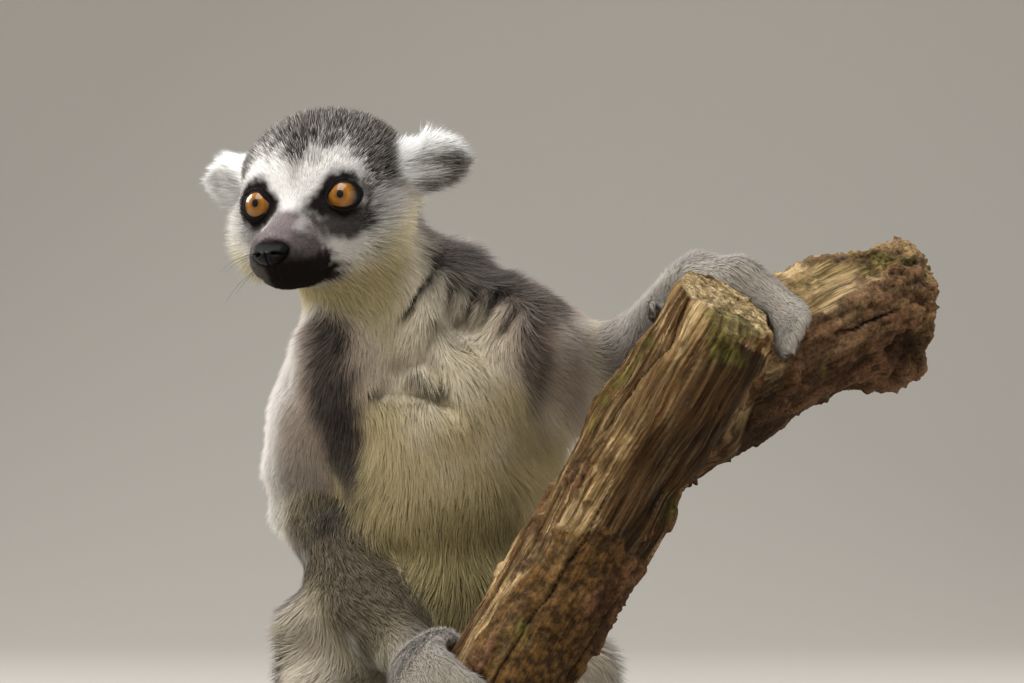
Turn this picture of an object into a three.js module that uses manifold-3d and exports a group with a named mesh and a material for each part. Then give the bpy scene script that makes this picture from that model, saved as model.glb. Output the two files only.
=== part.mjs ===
// Ring-tailed lemur (Lemur catta), life size, sitting on its haunches and holding a cut forked branch, on a
// round display base. Each part of the body reaches to the tips of its fur.
// Millimetres, +Z up. The lemur faces -Y and its left is +X. Origin: centre of the base's underside.
import * as THREE from "three";
import { mergeVertices } from "three/addons/utils/BufferGeometryUtils.js";
import { edgeTable, triTable } from "three/addons/objects/MarchingCubes.js";
import Module from "manifold-3d";

const wasm = await Module();
wasm.setup();

// ---- Driving dimensions ----
const BASE_RADIUS = 172;
const BASE_THICKNESS = 12;
const GAP = 1.6; // clear width of the thin cuts between parts
const CUT_TOLERANCE = 0.6; // how far a mesh may stray from its cut faces
const TOUCH_GAP = 0.3; // round pieces set into others, such as the eyes and rods
const SEAT = BASE_THICKNESS + 0.4; // level that rump, feet and tail rest on
const DEGREE = Math.PI / 180;

const HEAD_PLACE = [-52.7, -30, 293]; // midpoint between the eyes
const HEAD_YAW = 17.5 * DEGREE; // turned to the lemur's right
const HEAD_ROLL = 4 * DEGREE; // left side up
const HEAD_PITCH = 7 * DEGREE; // nose down
const EYE_RADIUS = 8.6;
const EYE_SPREAD = 16.6; // from the midline to each eye's centre
const EYE_DEPTH = -0.8; // behind the midpoint between the eyes

// Joints, as [x, y, z]. The name's last word gives the lemur's own side.
const SHOULDER = { left: [22, 13, 246], right: [-38, 0, 238] };
const ELBOW = { left: [61, 58, 226], right: [-63, 45, 186] };
const WRIST = { left: [92, -13, 266], right: [-13, -25, 124] };
const HIP = { left: [31, 80, 60], right: [-31, 78, 60] };
const KNEE = { left: [46, 2, 126], right: [-47, -15, 144] };
const ANKLE = { left: [55, 50, 32], right: [-53, 38, 32] };

// The branch: a straight log that ends in a stub, and a fork that leaves it to the left.
const LOG_FOOT = [-11, -50, 68];
const LOG_CROTCH = [72, -52, 205];
const STUB_END = [104.5, -60, 259];
const FORK_BENDS = [[110, -24, 231], [137, -4, 248], [182, 18, 259]];
const LOG_RADIUS = 22.3;
const STUB_RADIUS = 20;
const FORK_RADIUS = 25;
const ROD_RADIUS = 4;

// Tail: laid on the base, round the body from the rump's back by the right side to the front.
const TAIL_TURN = 255 * DEGREE;
const TAIL_SWEEP = 132; // radius of the tail's line round TAIL_CENTRE
const TAIL_CENTRE = [0, 12];
const TAIL_LENGTHS = 4;
const TAIL_RADIUS = { root: 15, middle: 21, tip: 17 };

// ---- Vectors ----
const add = (a, b) => [a[0] + b[0], a[1] + b[1], a[2] + b[2]];
const subtract = (a, b) => [a[0] - b[0], a[1] - b[1], a[2] - b[2]];
const scaled = (a, s) => [a[0] * s, a[1] * s, a[2] * s];
const dot = (a, b) => a[0] * b[0] + a[1] * b[1] + a[2] * b[2];
const length = (a) => Math.sqrt(dot(a, a));
const unit = (a) => scaled(a, 1 / length(a));
const between = (a, b, t) => add(a, scaled(subtract(b, a), t));
const cross = (a, b) => [a[1] * b[2] - a[2] * b[1], a[2] * b[0] - a[0] * b[2], a[0] * b[1] - a[1] * b[0]];
const mirrored = (a, side) => (side === "left" ? a : [-a[0], a[1], a[2]]);

// ---- Distance fields: each takes a point and gives its distance to a surface, negative inside ----
const smoothMin = (a, b, k) => {
  const h = Math.max(k - Math.abs(a - b), 0) / k;
  return Math.min(a, b) - (h * h * k) / 4;
};

// A limb segment: two balls and the cone that wraps them.
function taper(a, b, radiusA, radiusB = radiusA) {
  const axis = subtract(b, a);
  const along = dot(axis, axis);
  return {
    low: a.map((v, i) => Math.min(v - radiusA, b[i] - radiusB)),
    high: a.map((v, i) => Math.max(v + radiusA, b[i] + radiusB)),
    at: (p) => {
      const d = subtract(p, a);
      const t = along ? Math.min(Math.max(dot(d, axis) / along, 0), 1) : 0;
      return length(subtract(d, scaled(axis, t))) - radiusA - (radiusB - radiusA) * t;
    },
  };
}

// An ellipsoid whose own axes are turned by a THREE.Quaternion.
function egg(centre, radii, turn = new THREE.Quaternion()) {
  const m = new THREE.Matrix4().makeRotationFromQuaternion(turn.clone().invert()).elements;
  const reach = Math.max(...radii);
  return {
    low: centre.map((v) => v - reach),
    high: centre.map((v) => v + reach),
    at: (p) => {
      const x = p[0] - centre[0];
      const y = p[1] - centre[1];
      const z = p[2] - centre[2];
      const u = (m[0] * x + m[4] * y + m[8] * z) / radii[0];
      const v = (m[1] * x + m[5] * y + m[9] * z) / radii[1];
      const w = (m[2] * x + m[6] * y + m[10] * z) / radii[2];
      const k = Math.sqrt(u * u + v * v + w * w);
      const g = Math.hypot(u / radii[0], v / radii[1], w / radii[2]);
      return k < 1e-6 ? -Math.min(...radii) : (k * (k - 1)) / g;
    },
  };
}

function blended(shapes, k) {
  const parts = [...shapes];
  return {
    low: [0, 1, 2].map((i) => Math.min(...parts.map((s) => s.low[i]))),
    high: [0, 1, 2].map((i) => Math.max(...parts.map((s) => s.high[i]))),
    at: (p) => parts.reduce((least, s) => smoothMin(least, s.at(p), k), 1e3),
  };
}

// A field with a hollow scooped out of it.
const scooped = (shape, hollow, k) => ({ ...shape, at: (p) => -smoothMin(-shape.at(p), hollow.at(p), k) });

// A field cut off flat: only what lies behind the plane through place stays.
const cutFlat = (shape, place, normal) => ({
  ...shape,
  at: (p) => Math.max(shape.at(p), dot(subtract(p, place), unit(normal))),
});

// ---- Head, in its own frame: x to its left, y backwards, z up, from the midpoint between the eyes ----
const HEAD_TURN = new THREE.Quaternion().setFromEuler(
  new THREE.Euler(HEAD_PITCH, -HEAD_ROLL, -HEAD_YAW, "ZXY"),
);
const onHead = (x, y, z) => {
  const v = new THREE.Vector3(x, y, z).applyQuaternion(HEAD_TURN);
  return add(HEAD_PLACE, [v.x, v.y, v.z]);
};
const headEgg = (x, y, z, ...radii) => egg(onHead(x, y, z), radii, HEAD_TURN);
const EYE_PLACE = {
  left: onHead(EYE_SPREAD, EYE_DEPTH, 0),
  right: onHead(-EYE_SPREAD, EYE_DEPTH, 0),
};
const NOSE = { place: [0, -33.8, -16], radii: [6.4, 5.2, 5] };

function headShape() {
  const sides = [-1, 1].flatMap((s) => [
    headEgg(16 * s, 6.5, 8, 12.5, 11.5, 10), // brow and orbit
    headEgg(15 * s, 14, -12, 18, 22, 17), // cheek ruff
    headEgg(6.5 * s, -22.5, -19.5, 8, 11.5, 8), // whisker pad
  ]);
  return blended([
    headEgg(-1, 29, 8, 34, 34, 28.5), // braincase
    headEgg(0, 8, 9, 17, 17, 20), // forehead
    taper(onHead(0, 3, -7), onHead(0, -26, -14.5), 13.5, 8.5), // muzzle
    taper(onHead(0, 18, -20), onHead(-0.5, -25, -24.8), 13, 6.9), // lower jaw
    ...sides,
  ], 8);
}

// ---- Ears: shallow cups that stand out sideways, each opening outwards and forwards ----
const EAR = {
  root: [27, 33, 6],
  out: [0.95, 0.05, 0.3],
  opening: [0.4, -0.85, -0.3],
  length: 31,
  width: 28,
  depth: 9,
};

function earShape(side) {
  const out = new THREE.Vector3(...unit(mirrored(EAR.out, side)));
  const opening = new THREE.Vector3(...mirrored(EAR.opening, side));
  const across = new THREE.Vector3().crossVectors(opening, out).normalize();
  opening.crossVectors(out, across).normalize();
  const axes = new THREE.Matrix4().makeBasis(out, across, opening);
  const turn = HEAD_TURN.clone().multiply(new THREE.Quaternion().setFromRotationMatrix(axes));
  const at = (alongOut, alongOpening) => {
    const v = new THREE.Vector3(...mirrored(EAR.root, side))
      .addScaledVector(out, alongOut)
      .addScaledVector(opening, alongOpening);
    return onHead(v.x, v.y, v.z);
  };
  const half = EAR.length / 2;
  const cup = blended([
    egg(at(half - 3, 0), [half, EAR.width / 2, EAR.depth / 2 + 1.5], turn),
    egg(at(0, -1), [9, EAR.width / 2 - 3, EAR.depth / 2 + 3], turn),
  ], 5);
  const scoop = egg(at(half + 1, EAR.depth / 2 + 2.2), [half - 4, EAR.width / 2 - 4, EAR.depth / 2], turn);
  return scooped(cup, scoop, 2.5);
}

// ---- Hands and feet ----
// A hand that grasps a round branch. Places are given round the branch's axis: an angle from the palm,
// a shift along the axis and a height over the bark. turnSign is the way the fingers go round.
const FINGER = { spacing: 7.6, thick: 4.7, taper: 0.08 };
const THUMB = { angles: [-16, -42, -66], thick: 4.6 };
function graspingHand({ wrist, centre, axis, radius, palm, turnSign, thumbShift, fingers, fan, slant }) {
  const along = unit(axis);
  const toPalm = unit(subtract(palm, scaled(along, dot(palm, along))));
  const sideways = scaled(cross(along, toPalm), turnSign);
  const onBark = (angle, shift, height) => {
    const outwards = add(scaled(toPalm, Math.cos(angle)), scaled(sideways, Math.sin(angle)));
    return add(add(centre, scaled(along, shift)), scaled(outwards, radius + height));
  };
  const digit = (angles, shift, spread, thick) => {
    const joints = angles.map((a, i) => onBark(a * DEGREE, shift + (spread - slant) * i, thick + 0.6));
    const girth = (i) => thick * (1 - FINGER.taper * i);
    const bones = joints.slice(1).map((j, i) => taper(joints[i], j, girth(i), girth(i + 1)));
    return [taper(wrist, joints[0], 8.5, thick + 1), ...bones];
  };
  const four = [-1.5, -0.5, 0.5, 1.5].flatMap((place) =>
    digit(fingers, place * FINGER.spacing, place * fan, FINGER.thick),
  );
  return blended([...four, ...digit(THUMB.angles, thumbShift, 1, THUMB.thick)], 3);
}

const FOOT = { length: 104, toe: 27, spacing: 8, thick: 5 };

// A foot flat on the base: heel, sole, four toes and the big toe that stands off inwards.
function footShape(side) {
  const [x, y] = ANKLE[side];
  const outwards = side === "left" ? 1 : -1;
  const heel = [x, y + 10, SEAT + 9];
  const ballY = heel[1] - FOOT.length + FOOT.toe;
  const toes = [0, 1, 2, 3].flatMap((i) => {
    const across = (i - 1.2) * FOOT.spacing * outwards;
    const knuckle = [x + across, ballY + Math.abs(i - 1.3) * 4, SEAT + 6.5];
    const middle = add(knuckle, [across * 0.18, -FOOT.toe * 0.55, 2.5]);
    const tip = add(knuckle, [across * 0.3, -FOOT.toe + i * 1.5, -2.2]);
    return [
      taper(heel, knuckle, 8, 6),
      taper(knuckle, middle, FOOT.thick, FOOT.thick * 0.95),
      taper(middle, tip, FOOT.thick * 0.95, FOOT.thick * 0.85),
    ];
  });
  const thumbRoot = [x - 8 * outwards, ballY + 26, SEAT + 6];
  const bigToe = [
    taper(thumbRoot, [x - 20 * outwards, ballY + 8, SEAT + 6], 6.5, 5.4),
    taper([x - 20 * outwards, ballY + 8, SEAT + 6], [x - 24 * outwards, ballY - 8, SEAT + 4.5], 5.2, 4.8),
  ];
  return blended([
    ...toes,
    ...bigToe,
    taper(ANKLE[side], heel, 12, 8.5),
    taper(ANKLE[side], [x, ballY + 20, SEAT + 8], 11, 8),
  ], 4);
}

// ---- Branch ----
// Slow waves that give wood its lumps, from a place on it.
function knobbly([x, y, z], size) {
  const lumps = Math.sin(x * 0.11 + z * 0.05) * Math.sin(y * 0.13 + 1.3);
  return size * (lumps + 0.6 * Math.sin(z * 0.16 - y * 0.09));
}
const rough = (shape, size) => ({ ...shape, at: (p) => shape.at(p) + knobbly(p, size) });

const LOG_AXIS = unit(subtract(LOG_CROTCH, LOG_FOOT));
const STUB_AXIS = unit(subtract(STUB_END, LOG_CROTCH));

const wood = {
  branch_log: cutFlat(
    cutFlat(
      rough(blended([
        taper(subtract(LOG_FOOT, scaled(LOG_AXIS, 30)), LOG_CROTCH, LOG_RADIUS),
        taper(LOG_CROTCH, add(STUB_END, scaled(STUB_AXIS, 30)), LOG_RADIUS, STUB_RADIUS),
      ], 6), 1),
      LOG_FOOT,
      scaled(LOG_AXIS, -1),
    ),
    STUB_END,
    add(STUB_AXIS, [0.1, -0.75, 0.05]),
  ),
  branch_fork: cutFlat(
    rough(blended([
      taper(between(LOG_CROTCH, LOG_FOOT, 0.06), FORK_BENDS[0], LOG_RADIUS - 2, FORK_RADIUS - 2),
      taper(FORK_BENDS[0], FORK_BENDS[1], FORK_RADIUS - 2, FORK_RADIUS),
      taper(FORK_BENDS[1], add(FORK_BENDS[2], [30, 16, 2]), FORK_RADIUS, FORK_RADIUS + 3),
    ], 6), 1.6),
    FORK_BENDS[2],
    [1, 0.12, -0.1],
  ),
};

// ---- Flesh: one field for each part of the body ----
function sided(side) {
  const [s, e, w] = [SHOULDER[side], ELBOW[side], WRIST[side]];
  const [h, k, a] = [HIP[side], KNEE[side], ANKLE[side]];
  return {
    [`ear_${side}`]: earShape(side),
    [`upper_arm_${side}`]: blended([taper(s, e, 24, 17), egg(between(s, e, 0.45), [22, 22, 22])], 10),
    [`forearm_${side}`]: blended([taper(e, w, 17, 12), egg(between(e, w, 0.3), [16.5, 16.5, 16.5])], 8),
    [`thigh_${side}`]: blended([taper(h, k, 38, 21), egg(between(h, k, 0.4), [26, 36, 36])], 12),
    [`shin_${side}`]: blended([taper(k, a, 19, 12.5), egg(between(k, a, 0.3), [17.5, 19, 18])], 8),
    [`foot_${side}`]: footShape(side),
  };
}

const flesh = {
  head: headShape(),
  neck: blended([
    taper(onHead(4, 34, -14), [-18, 14, 240], 25, 33),
    egg([-6, 34, 255], [30, 30, 32]), // nape
  ], 14),
  chest: blended([
    egg([-5, 22, 208], [43, 41, 50]),
    egg([-8, 22, 236], [40, 36, 32]), // shoulder girdle
    egg([2, 42, 228], [38, 38, 50]), // back
  ], 14),
  belly: blended([
    egg([0, 38, 140], [45, 46, 60]),
    egg([0, 66, 70], [54, 54, 58]), // rump
    egg([2, 58, 150], [42, 44, 60]), // small of the back
  ], 16),
  ...sided("left"),
  ...sided("right"),
  hand_left: graspingHand({
    wrist: WRIST.left,
    centre: subtract(STUB_END, scaled(STUB_AXIS, 4)),
    axis: STUB_AXIS,
    radius: STUB_RADIUS,
    palm: [-0.25, 0.85, 0.3],
    turnSign: -1,
    thumbShift: -20,
    fingers: [18, 52, 86, 116],
    fan: -0.8,
    slant: 0,
  }),
  hand_right: graspingHand({
    wrist: WRIST.right,
    centre: between(LOG_FOOT, LOG_CROTCH, 0.29),
    axis: LOG_AXIS,
    radius: LOG_RADIUS,
    palm: [-0.85, 0.12, 0.4],
    turnSign: 1,
    thumbShift: 15,
    fingers: [14, 44, 74, 102],
    fan: 0.8,
    slant: 1.5,
  }),
};

// Tail: a chain of balls along an arc, thickest past its middle, shared out between TAIL_LENGTHS nodes.
function tailPoint(t) {
  const angle = 90 * DEGREE + TAIL_TURN * t;
  const settle = Math.min(t / 0.16, 1);
  const reach = 96 + (TAIL_SWEEP - 96) * settle * settle * (3 - 2 * settle);
  const radius = tailRadius(t);
  const drop = (1 - settle) * (1 - settle) * 14;
  return [
    TAIL_CENTRE[0] + reach * Math.cos(angle),
    TAIL_CENTRE[1] + reach * Math.sin(angle),
    SEAT - 0.8 + radius + drop,
  ];
}
function tailRadius(t) {
  const { root, middle, tip } = TAIL_RADIUS;
  const thickest = 0.6;
  if (t < thickest) return root + (middle - root) * Math.sin((t / thickest) * 90 * DEGREE);
  return middle + (tip - middle) * ((t - thickest) / (1 - thickest)) ** 2;
}
const TAIL_STEPS = 32;
const stepsEach = TAIL_STEPS / TAIL_LENGTHS;
for (let n = 0; n < TAIL_LENGTHS; n++) {
  const pieces = [];
  for (let i = n * stepsEach; i < (n + 1) * stepsEach; i++) {
    const [from, to] = [i / TAIL_STEPS, (i + 1) / TAIL_STEPS];
    pieces.push(taper(tailPoint(from), tailPoint(to), tailRadius(from), tailRadius(to)));
  }
  flesh[`tail_${n + 1}`] = blended(pieces, 2);
}

// What grows from what, with the width of the soft blend between the two.
const JOINED = [
  ["head", "neck", 16], ["head", "ear_left", 5], ["head", "ear_right", 5], ["neck", "chest", 22],
  ["chest", "belly", 30], ["belly", "tail_1", 12],
  ["neck", "upper_arm_left", 16], ["neck", "upper_arm_right", 14],
  ...["left", "right"].flatMap((side) => [
    ["chest", `upper_arm_${side}`, 16],
    [`upper_arm_${side}`, `forearm_${side}`, 4],
    [`forearm_${side}`, `hand_${side}`, 5],
    ["belly", `thigh_${side}`, 18],
    [`thigh_${side}`, `shin_${side}`, 12],
    [`shin_${side}`, `foot_${side}`, 7],
  ]),
  ...[1, 2, 3].map((n) => [`tail_${n}`, `tail_${n + 1}`, 2]),
  ["branch_log", "branch_fork", 12],
];

// Joints cut by a plane square to the limb: the part before it, the part after it, a place and the way on.
const bend = (before, joint, after) => unit(add(unit(subtract(joint, before)), unit(subtract(after, joint))));
const HINGES = [
  ...["left", "right"].flatMap((side) => [
    [`upper_arm_${side}`, `forearm_${side}`, ELBOW[side], bend(SHOULDER[side], ELBOW[side], WRIST[side])],
    [`forearm_${side}`, `hand_${side}`, WRIST[side], unit(subtract(WRIST[side], ELBOW[side]))],
  ]),
  ...[1, 2, 3].map((n) => {
    const t = n / TAIL_LENGTHS;
    const way = unit(subtract(tailPoint(t + 0.01), tailPoint(t - 0.01)));
    return [`tail_${n}`, `tail_${n + 1}`, tailPoint(t), way];
  }),
];

// ---- Meshing ----
// A part's solid: its field blended into its neighbours, kept to where its own field is the nearest or to
// its own side of a hinge, less a thin cut. Nothing reaches below the level of the base's top.
const REACH = 30; // parts farther apart than this don't shape each other
function partField(name, fields) {
  const own = fields[name];
  const near = ({ low, high }) =>
    [0, 1, 2].every((i) => low[i] < own.high[i] + REACH && high[i] > own.low[i] - REACH);
  const others = Object.keys(fields).filter((n) => n !== name && near(fields[n]));
  const blends = new Map(
    JOINED.filter(([a, b]) => a === name || b === name).map(([a, b, width]) => [a === name ? b : a, width]),
  );
  const hinges = HINGES.filter((h) => h.slice(0, 2).includes(name)).map(([before, after, place, way]) => ({
    other: before === name ? after : before,
    at: (p) => dot(subtract(p, place), way) * (before === name ? 1 : -1) + GAP / 2,
  }));
  const rivals = others.filter((n) => !hinges.some((h) => h.other === n));
  const cut = (p, mine) => {
    const nearest = Math.min(...rivals.map((n) => fields[n].at(p)));
    return Math.max((mine - nearest + GAP) / 2, ...hinges.map((h) => h.at(p)));
  };
  const blending = others.filter((n) => blends.has(n));
  const skin = (p, mine) =>
    blending.reduce((least, n) => smoothMin(least, fields[n].at(p), blends.get(n)), mine);
  return {
    at: (p) => {
      const mine = own.at(p);
      return Math.max(skin(p, mine), cut(p, mine), SEAT - p[2]);
    },
    // How near a cut is: parts must stay clear of each other there.
    atCut: (p) => {
      const mine = own.at(p);
      return cut(p, mine) > skin(p, mine) - 1;
    },
  };
}

const CORNERS = [[0, 0, 0], [1, 0, 0], [1, 1, 0], [0, 1, 0], [0, 0, 1], [1, 0, 1], [1, 1, 1], [0, 1, 1]];
const EDGES = [
  [0, 1], [1, 2], [2, 3], [3, 0],
  [4, 5], [5, 6], [6, 7], [7, 4],
  [0, 4], [1, 5], [2, 6], [3, 7],
];

// Marching cubes over a box; then spare points are taken out and the rest evened out on the surface itself.
function meshed(field, low, high, cell, tolerance) {
  const margin = 2.3 * cell;
  const start = low.map((v) => v - margin);
  const count = high.map((v, i) => Math.ceil((v + margin - start[i]) / cell) + 1);
  const at = (i, j, k) => i + count[0] * (j + count[1] * k);
  const values = new Float64Array(count[0] * count[1] * count[2]);
  const place = (i, j, k) => [start[0] + i * cell, start[1] + j * cell, start[2] + k * cell];
  for (let k = 0; k < count[2]; k++)
    for (let j = 0; j < count[1]; j++)
      for (let i = 0; i < count[0]; i++) {
        const v = field.at(place(i, j, k));
        values[at(i, j, k)] = Math.abs(v) < 1e-4 ? 1e-4 : v;
      }
  const points = [];
  const faces = [];
  const made = new Map();
  const pointOn = (a, b) => {
    const [ia, ib] = [at(...a), at(...b)];
    const key = ia < ib ? ia * values.length + ib : ib * values.length + ia;
    if (!made.has(key)) {
      const t = Math.min(Math.max(values[ia] / (values[ia] - values[ib]), 0.12), 0.88);
      made.set(key, points.length);
      points.push(between(place(...a), place(...b), t));
    }
    return made.get(key);
  };
  for (let k = 0; k < count[2] - 1; k++)
    for (let j = 0; j < count[1] - 1; j++)
      for (let i = 0; i < count[0] - 1; i++) {
        const corner = CORNERS.map(([x, y, z]) => [i + x, j + y, k + z]);
        const inside = corner.reduce((bits, c, n) => bits | (values[at(...c)] < 0 ? 1 << n : 0), 0);
        if (!edgeTable[inside]) continue;
        for (let n = inside * 16; triTable[n] !== -1; n += 3) {
          const crossed = [0, 2, 1].map((m) => EDGES[triTable[n + m]]);
          faces.push(crossed.map(([a, b]) => pointOn(corner[a], corner[b])));
        }
      }
  evened(points, faces, field, cell, 3);
  const left = thinned(points, faces, field, tolerance);
  evened(points, left, field, cell, 2);
  return compact(points, left);
}

// The point moved along the field's slope onto the surface.
function onSurface(p, field, cell) {
  const step = 0.02 * cell;
  const value = field.at(p);
  const slope = [0, 1, 2].map((i) => {
    const q = [...p];
    q[i] += step;
    return (field.at(q) - value) / step;
  });
  const move = Math.min(Math.max(value / Math.max(dot(slope, slope), 0.2), -cell / 2), cell / 2);
  return subtract(p, scaled(slope, move));
}

function evened(points, faces, field, cell, rounds) {
  const neighbours = new Map();
  for (const face of faces)
    face.forEach((v, i) => neighbours.set(v, (neighbours.get(v) ?? new Set()).add(face[(i + 1) % 3])));
  for (let round = 0; round < rounds; round++) {
    const even = [...neighbours].map(([v, around]) => {
      const middle = scaled([...around].reduce((sum, n) => add(sum, points[n]), [0, 0, 0]), 1 / around.size);
      return [v, between(points[v], middle, round < rounds - 1 ? 0.5 : 0)];
    });
    for (const [v, p] of even) points[v] = onSurface(onSurface(p, field, cell), field, cell);
  }
}

const normalOf = ([a, b, c]) => cross(subtract(b, a), subtract(c, a));

// Shortest edges first, an edge is drawn together into one point where the faces round it stay within the
// tolerance of the surface and keep facing the same way.
function thinned(points, faces, field, tolerance) {
  const round = points.map(() => new Set());
  faces.forEach((face, n) => face.forEach((v) => round[v].add(n)));
  const ring = (v) => new Set([...round[v]].flatMap((n) => faces[n]).filter((w) => w !== v));
  const fits = (v, other, spot) =>
    [...round[v]].filter((n) => !faces[n].includes(other)).every((n) => {
      const before = faces[n].map((w) => points[w]);
      const after = faces[n].map((w) => (w === v ? spot : points[w]));
      const [was, is] = [normalOf(before), normalOf(after)];
      const sides = after.map((p, i) => length(subtract(after[(i + 1) % 3], p)));
      const turned = dot(was, is) < 0.5 * length(was) * length(is);
      const sliver = length(is) < 0.2 * Math.max(...sides) ** 2;
      if (turned || sliver) return false;
      const middle = scaled(after.reduce(add), 1 / 3);
      const halfway = after.map((p, i) => between(p, after[(i + 1) % 3], 0.5));
      return [middle, ...halfway].every((p) => {
        const off = Math.abs(field.at(p));
        return off < CUT_TOLERANCE || (off < tolerance && !field.atCut(p));
      });
    });
  for (let pass = 0, done = 1; pass < 8 && done > 0; pass++) {
    done = 0;
    const sidesOf = (f) => (f ? f.map((v, i) => [v, f[(i + 1) % 3]]) : []);
    const edges = faces.flatMap(sidesOf).filter(([a, b]) => a < b);
    const long = ([a, b]) => length(subtract(points[a], points[b]));
    for (const [a, b] of edges.map((e) => [long(e), e]).sort((x, y) => x[0] - y[0]).map((x) => x[1])) {
      const shared = [...round[a]].filter((n) => round[b].has(n));
      if (shared.length !== 2) continue;
      const ringB = ring(b);
      if ([...ring(a)].filter((v) => ringB.has(v)).length !== 2) continue;
      const spot = onSurface(between(points[a], points[b], 0.5), field, 5);
      if (!fits(a, b, spot) || !fits(b, a, spot)) continue;
      for (const n of shared) {
        faces[n].forEach((v) => round[v].delete(n));
        faces[n] = null;
      }
      for (const n of round[b]) {
        faces[n] = faces[n].map((v) => (v === b ? a : v));
        round[a].add(n);
      }
      round[b].clear();
      points[a] = spot;
      done++;
    }
  }
  return faces.filter(Boolean);
}

function compact(points, faces) {
  const used = [...new Set(faces.flat())];
  const place = new Map(used.map((v, i) => [v, i]));
  return { points: used.map((v) => points[v]), faces: faces.map((f) => f.map((v) => place.get(v))) };
}

function geometryOf({ points, faces }) {
  return new THREE.BufferGeometry()
    .setAttribute("position", new THREE.Float32BufferAttribute(points.flat(), 3))
    .setIndex(faces.flat());
}

// ---- Cutting with manifold-3d ----
function solidOf(geometry) {
  const bare = geometry.clone();
  bare.deleteAttribute("normal");
  bare.deleteAttribute("uv");
  const merged = mergeVertices(bare, 1e-3);
  const vertProperties = merged.attributes.position.array;
  const triVerts = new Uint32Array(merged.index.array);
  return new wasm.Manifold(new wasm.Mesh({ numProp: 3, vertProperties, triVerts }));
}
function geometryFrom(solid) {
  const { vertProperties, triVerts } = solid.getMesh();
  return new THREE.BufferGeometry()
    .setAttribute("position", new THREE.BufferAttribute(vertProperties, 3))
    .setIndex(new THREE.BufferAttribute(triVerts, 1));
}
const ball = (place, radius, sides = 12) =>
  new THREE.SphereGeometry(radius, sides, Math.round(sides * 0.6)).translate(...place);

// ---- Materials ----
const finish = (color, roughness = 0.9, metalness = 0) =>
  new THREE.MeshStandardMaterial({ color, roughness, metalness });
const GREY_FUR = finish(0x8f8983);
const WHITE_FUR = finish(0xd9d4c7);
const DARK_FUR = finish(0x4a4644);
const TAIL_FUR = finish(0x77716c);
const AMBER = finish(0xc8731a, 0.1);
const BLACK_SKIN = finish(0x1b1a1c, 0.45);
const WEATHERED_WOOD = finish(0x7a5f41);
const BASE_WOOD = finish(0x3b2f27, 0.5);
const STEEL = finish(0x9a9c9e, 0.35, 1);
const FINISHES = {
  head: WHITE_FUR, neck: WHITE_FUR, chest: WHITE_FUR, belly: WHITE_FUR, ear: WHITE_FUR,
  upper: DARK_FUR, forearm: GREY_FUR, hand: GREY_FUR, thigh: GREY_FUR, shin: GREY_FUR, foot: GREY_FUR,
  tail: TAIL_FUR, branch: WEATHERED_WOOD,
};

// Marching-cube size and tolerance for each kind of part: fine where the shape is small.
const FINENESS = {
  head: [5.4, 0.95], neck: [10, 1.8], chest: [12, 2.3], belly: [13, 2.6], ear: [4, 0.7],
  upper: [9, 1.7], forearm: [7.5, 1.5], hand: [3.6, 0.85], thigh: [11, 2.1], shin: [7.5, 1.4],
  foot: [4.2, 0.95], tail: [10, 1.7], branch: [9, 1.7],
};

const lemur = new THREE.Group();
const place = (name, geometry, material) => {
  const mesh = new THREE.Mesh(geometry, material);
  mesh.name = name;
  lemur.add(mesh);
};

const eyeHollows = ["left", "right"].map((side) => solidOf(ball(EYE_PLACE[side], EYE_RADIUS + TOUCH_GAP)));
const noseShape = (grown) =>
  new THREE.SphereGeometry(1, 12, 7)
    .scale(...NOSE.radii.map((r) => r + grown))
    .applyQuaternion(HEAD_TURN)
    .translate(...onHead(...NOSE.place));

// What is cut out of a part's own solid for the hard pieces set in it.
const FITTED = {
  head: (geometry) => {
    const hollows = [...eyeHollows, solidOf(noseShape(TOUCH_GAP))];
    return geometryFrom(hollows.reduce((left, hollow) => left.subtract(hollow), solidOf(geometry)));
  },
  branch_log: (geometry) => withSockets(geometry),
};

// ---- Display stand: a disc with eased edges, and two rods that stand in it and in the log's cut end ----
const RODS = [{ x: -7, top: 84 }, { x: 31, top: 118 }];
const ROD_FOOT = BASE_THICKNESS / 2;

function rodShape({ x, top }, spare = 0) {
  const foot = ROD_FOOT - spare;
  return new THREE.CylinderGeometry(ROD_RADIUS + spare, ROD_RADIUS + spare, top - foot, 12)
    .rotateX(90 * DEGREE)
    .translate(x, LOG_FOOT[1], (top + foot) / 2);
}

const BASE_EASE = 3; // how far the disc's edges are cut back

function discShape() {
  const outline = [
    [0, 0], [BASE_RADIUS - BASE_EASE, 0], [BASE_RADIUS, BASE_EASE],
    [BASE_RADIUS, BASE_THICKNESS - BASE_EASE], [BASE_RADIUS - BASE_EASE, BASE_THICKNESS], [0, BASE_THICKNESS],
  ].map(([r, z]) => new THREE.Vector2(r, z));
  return new THREE.LatheGeometry(outline, 32).rotateX(90 * DEGREE);
}

const withSockets = (geometry) => {
  const sockets = RODS.map((rod) => solidOf(rodShape(rod, TOUCH_GAP)));
  return geometryFrom(sockets.reduce((left, socket) => left.subtract(socket), solidOf(geometry)));
};

// ---- The whole ----
const fields = { ...flesh, ...wood };
for (const name of Object.keys(fields)) {
  const kind = name.split("_")[0];
  const { low, high } = fields[name];
  const geometry = geometryOf(meshed(partField(name, fields), low, high, ...FINENESS[kind]));
  place(name, FITTED[name]?.(geometry) ?? geometry, FINISHES[kind]);
}
for (const side of ["left", "right"]) place(`eye_${side}`, ball(EYE_PLACE[side], EYE_RADIUS), AMBER);
place("nose", noseShape(0), BLACK_SKIN);
place("stand_base", withSockets(discShape()), BASE_WOOD);
RODS.forEach((rod, i) => place(`stand_rod_${i + 1}`, rodShape(rod), STEEL));

export default lemur;
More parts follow.
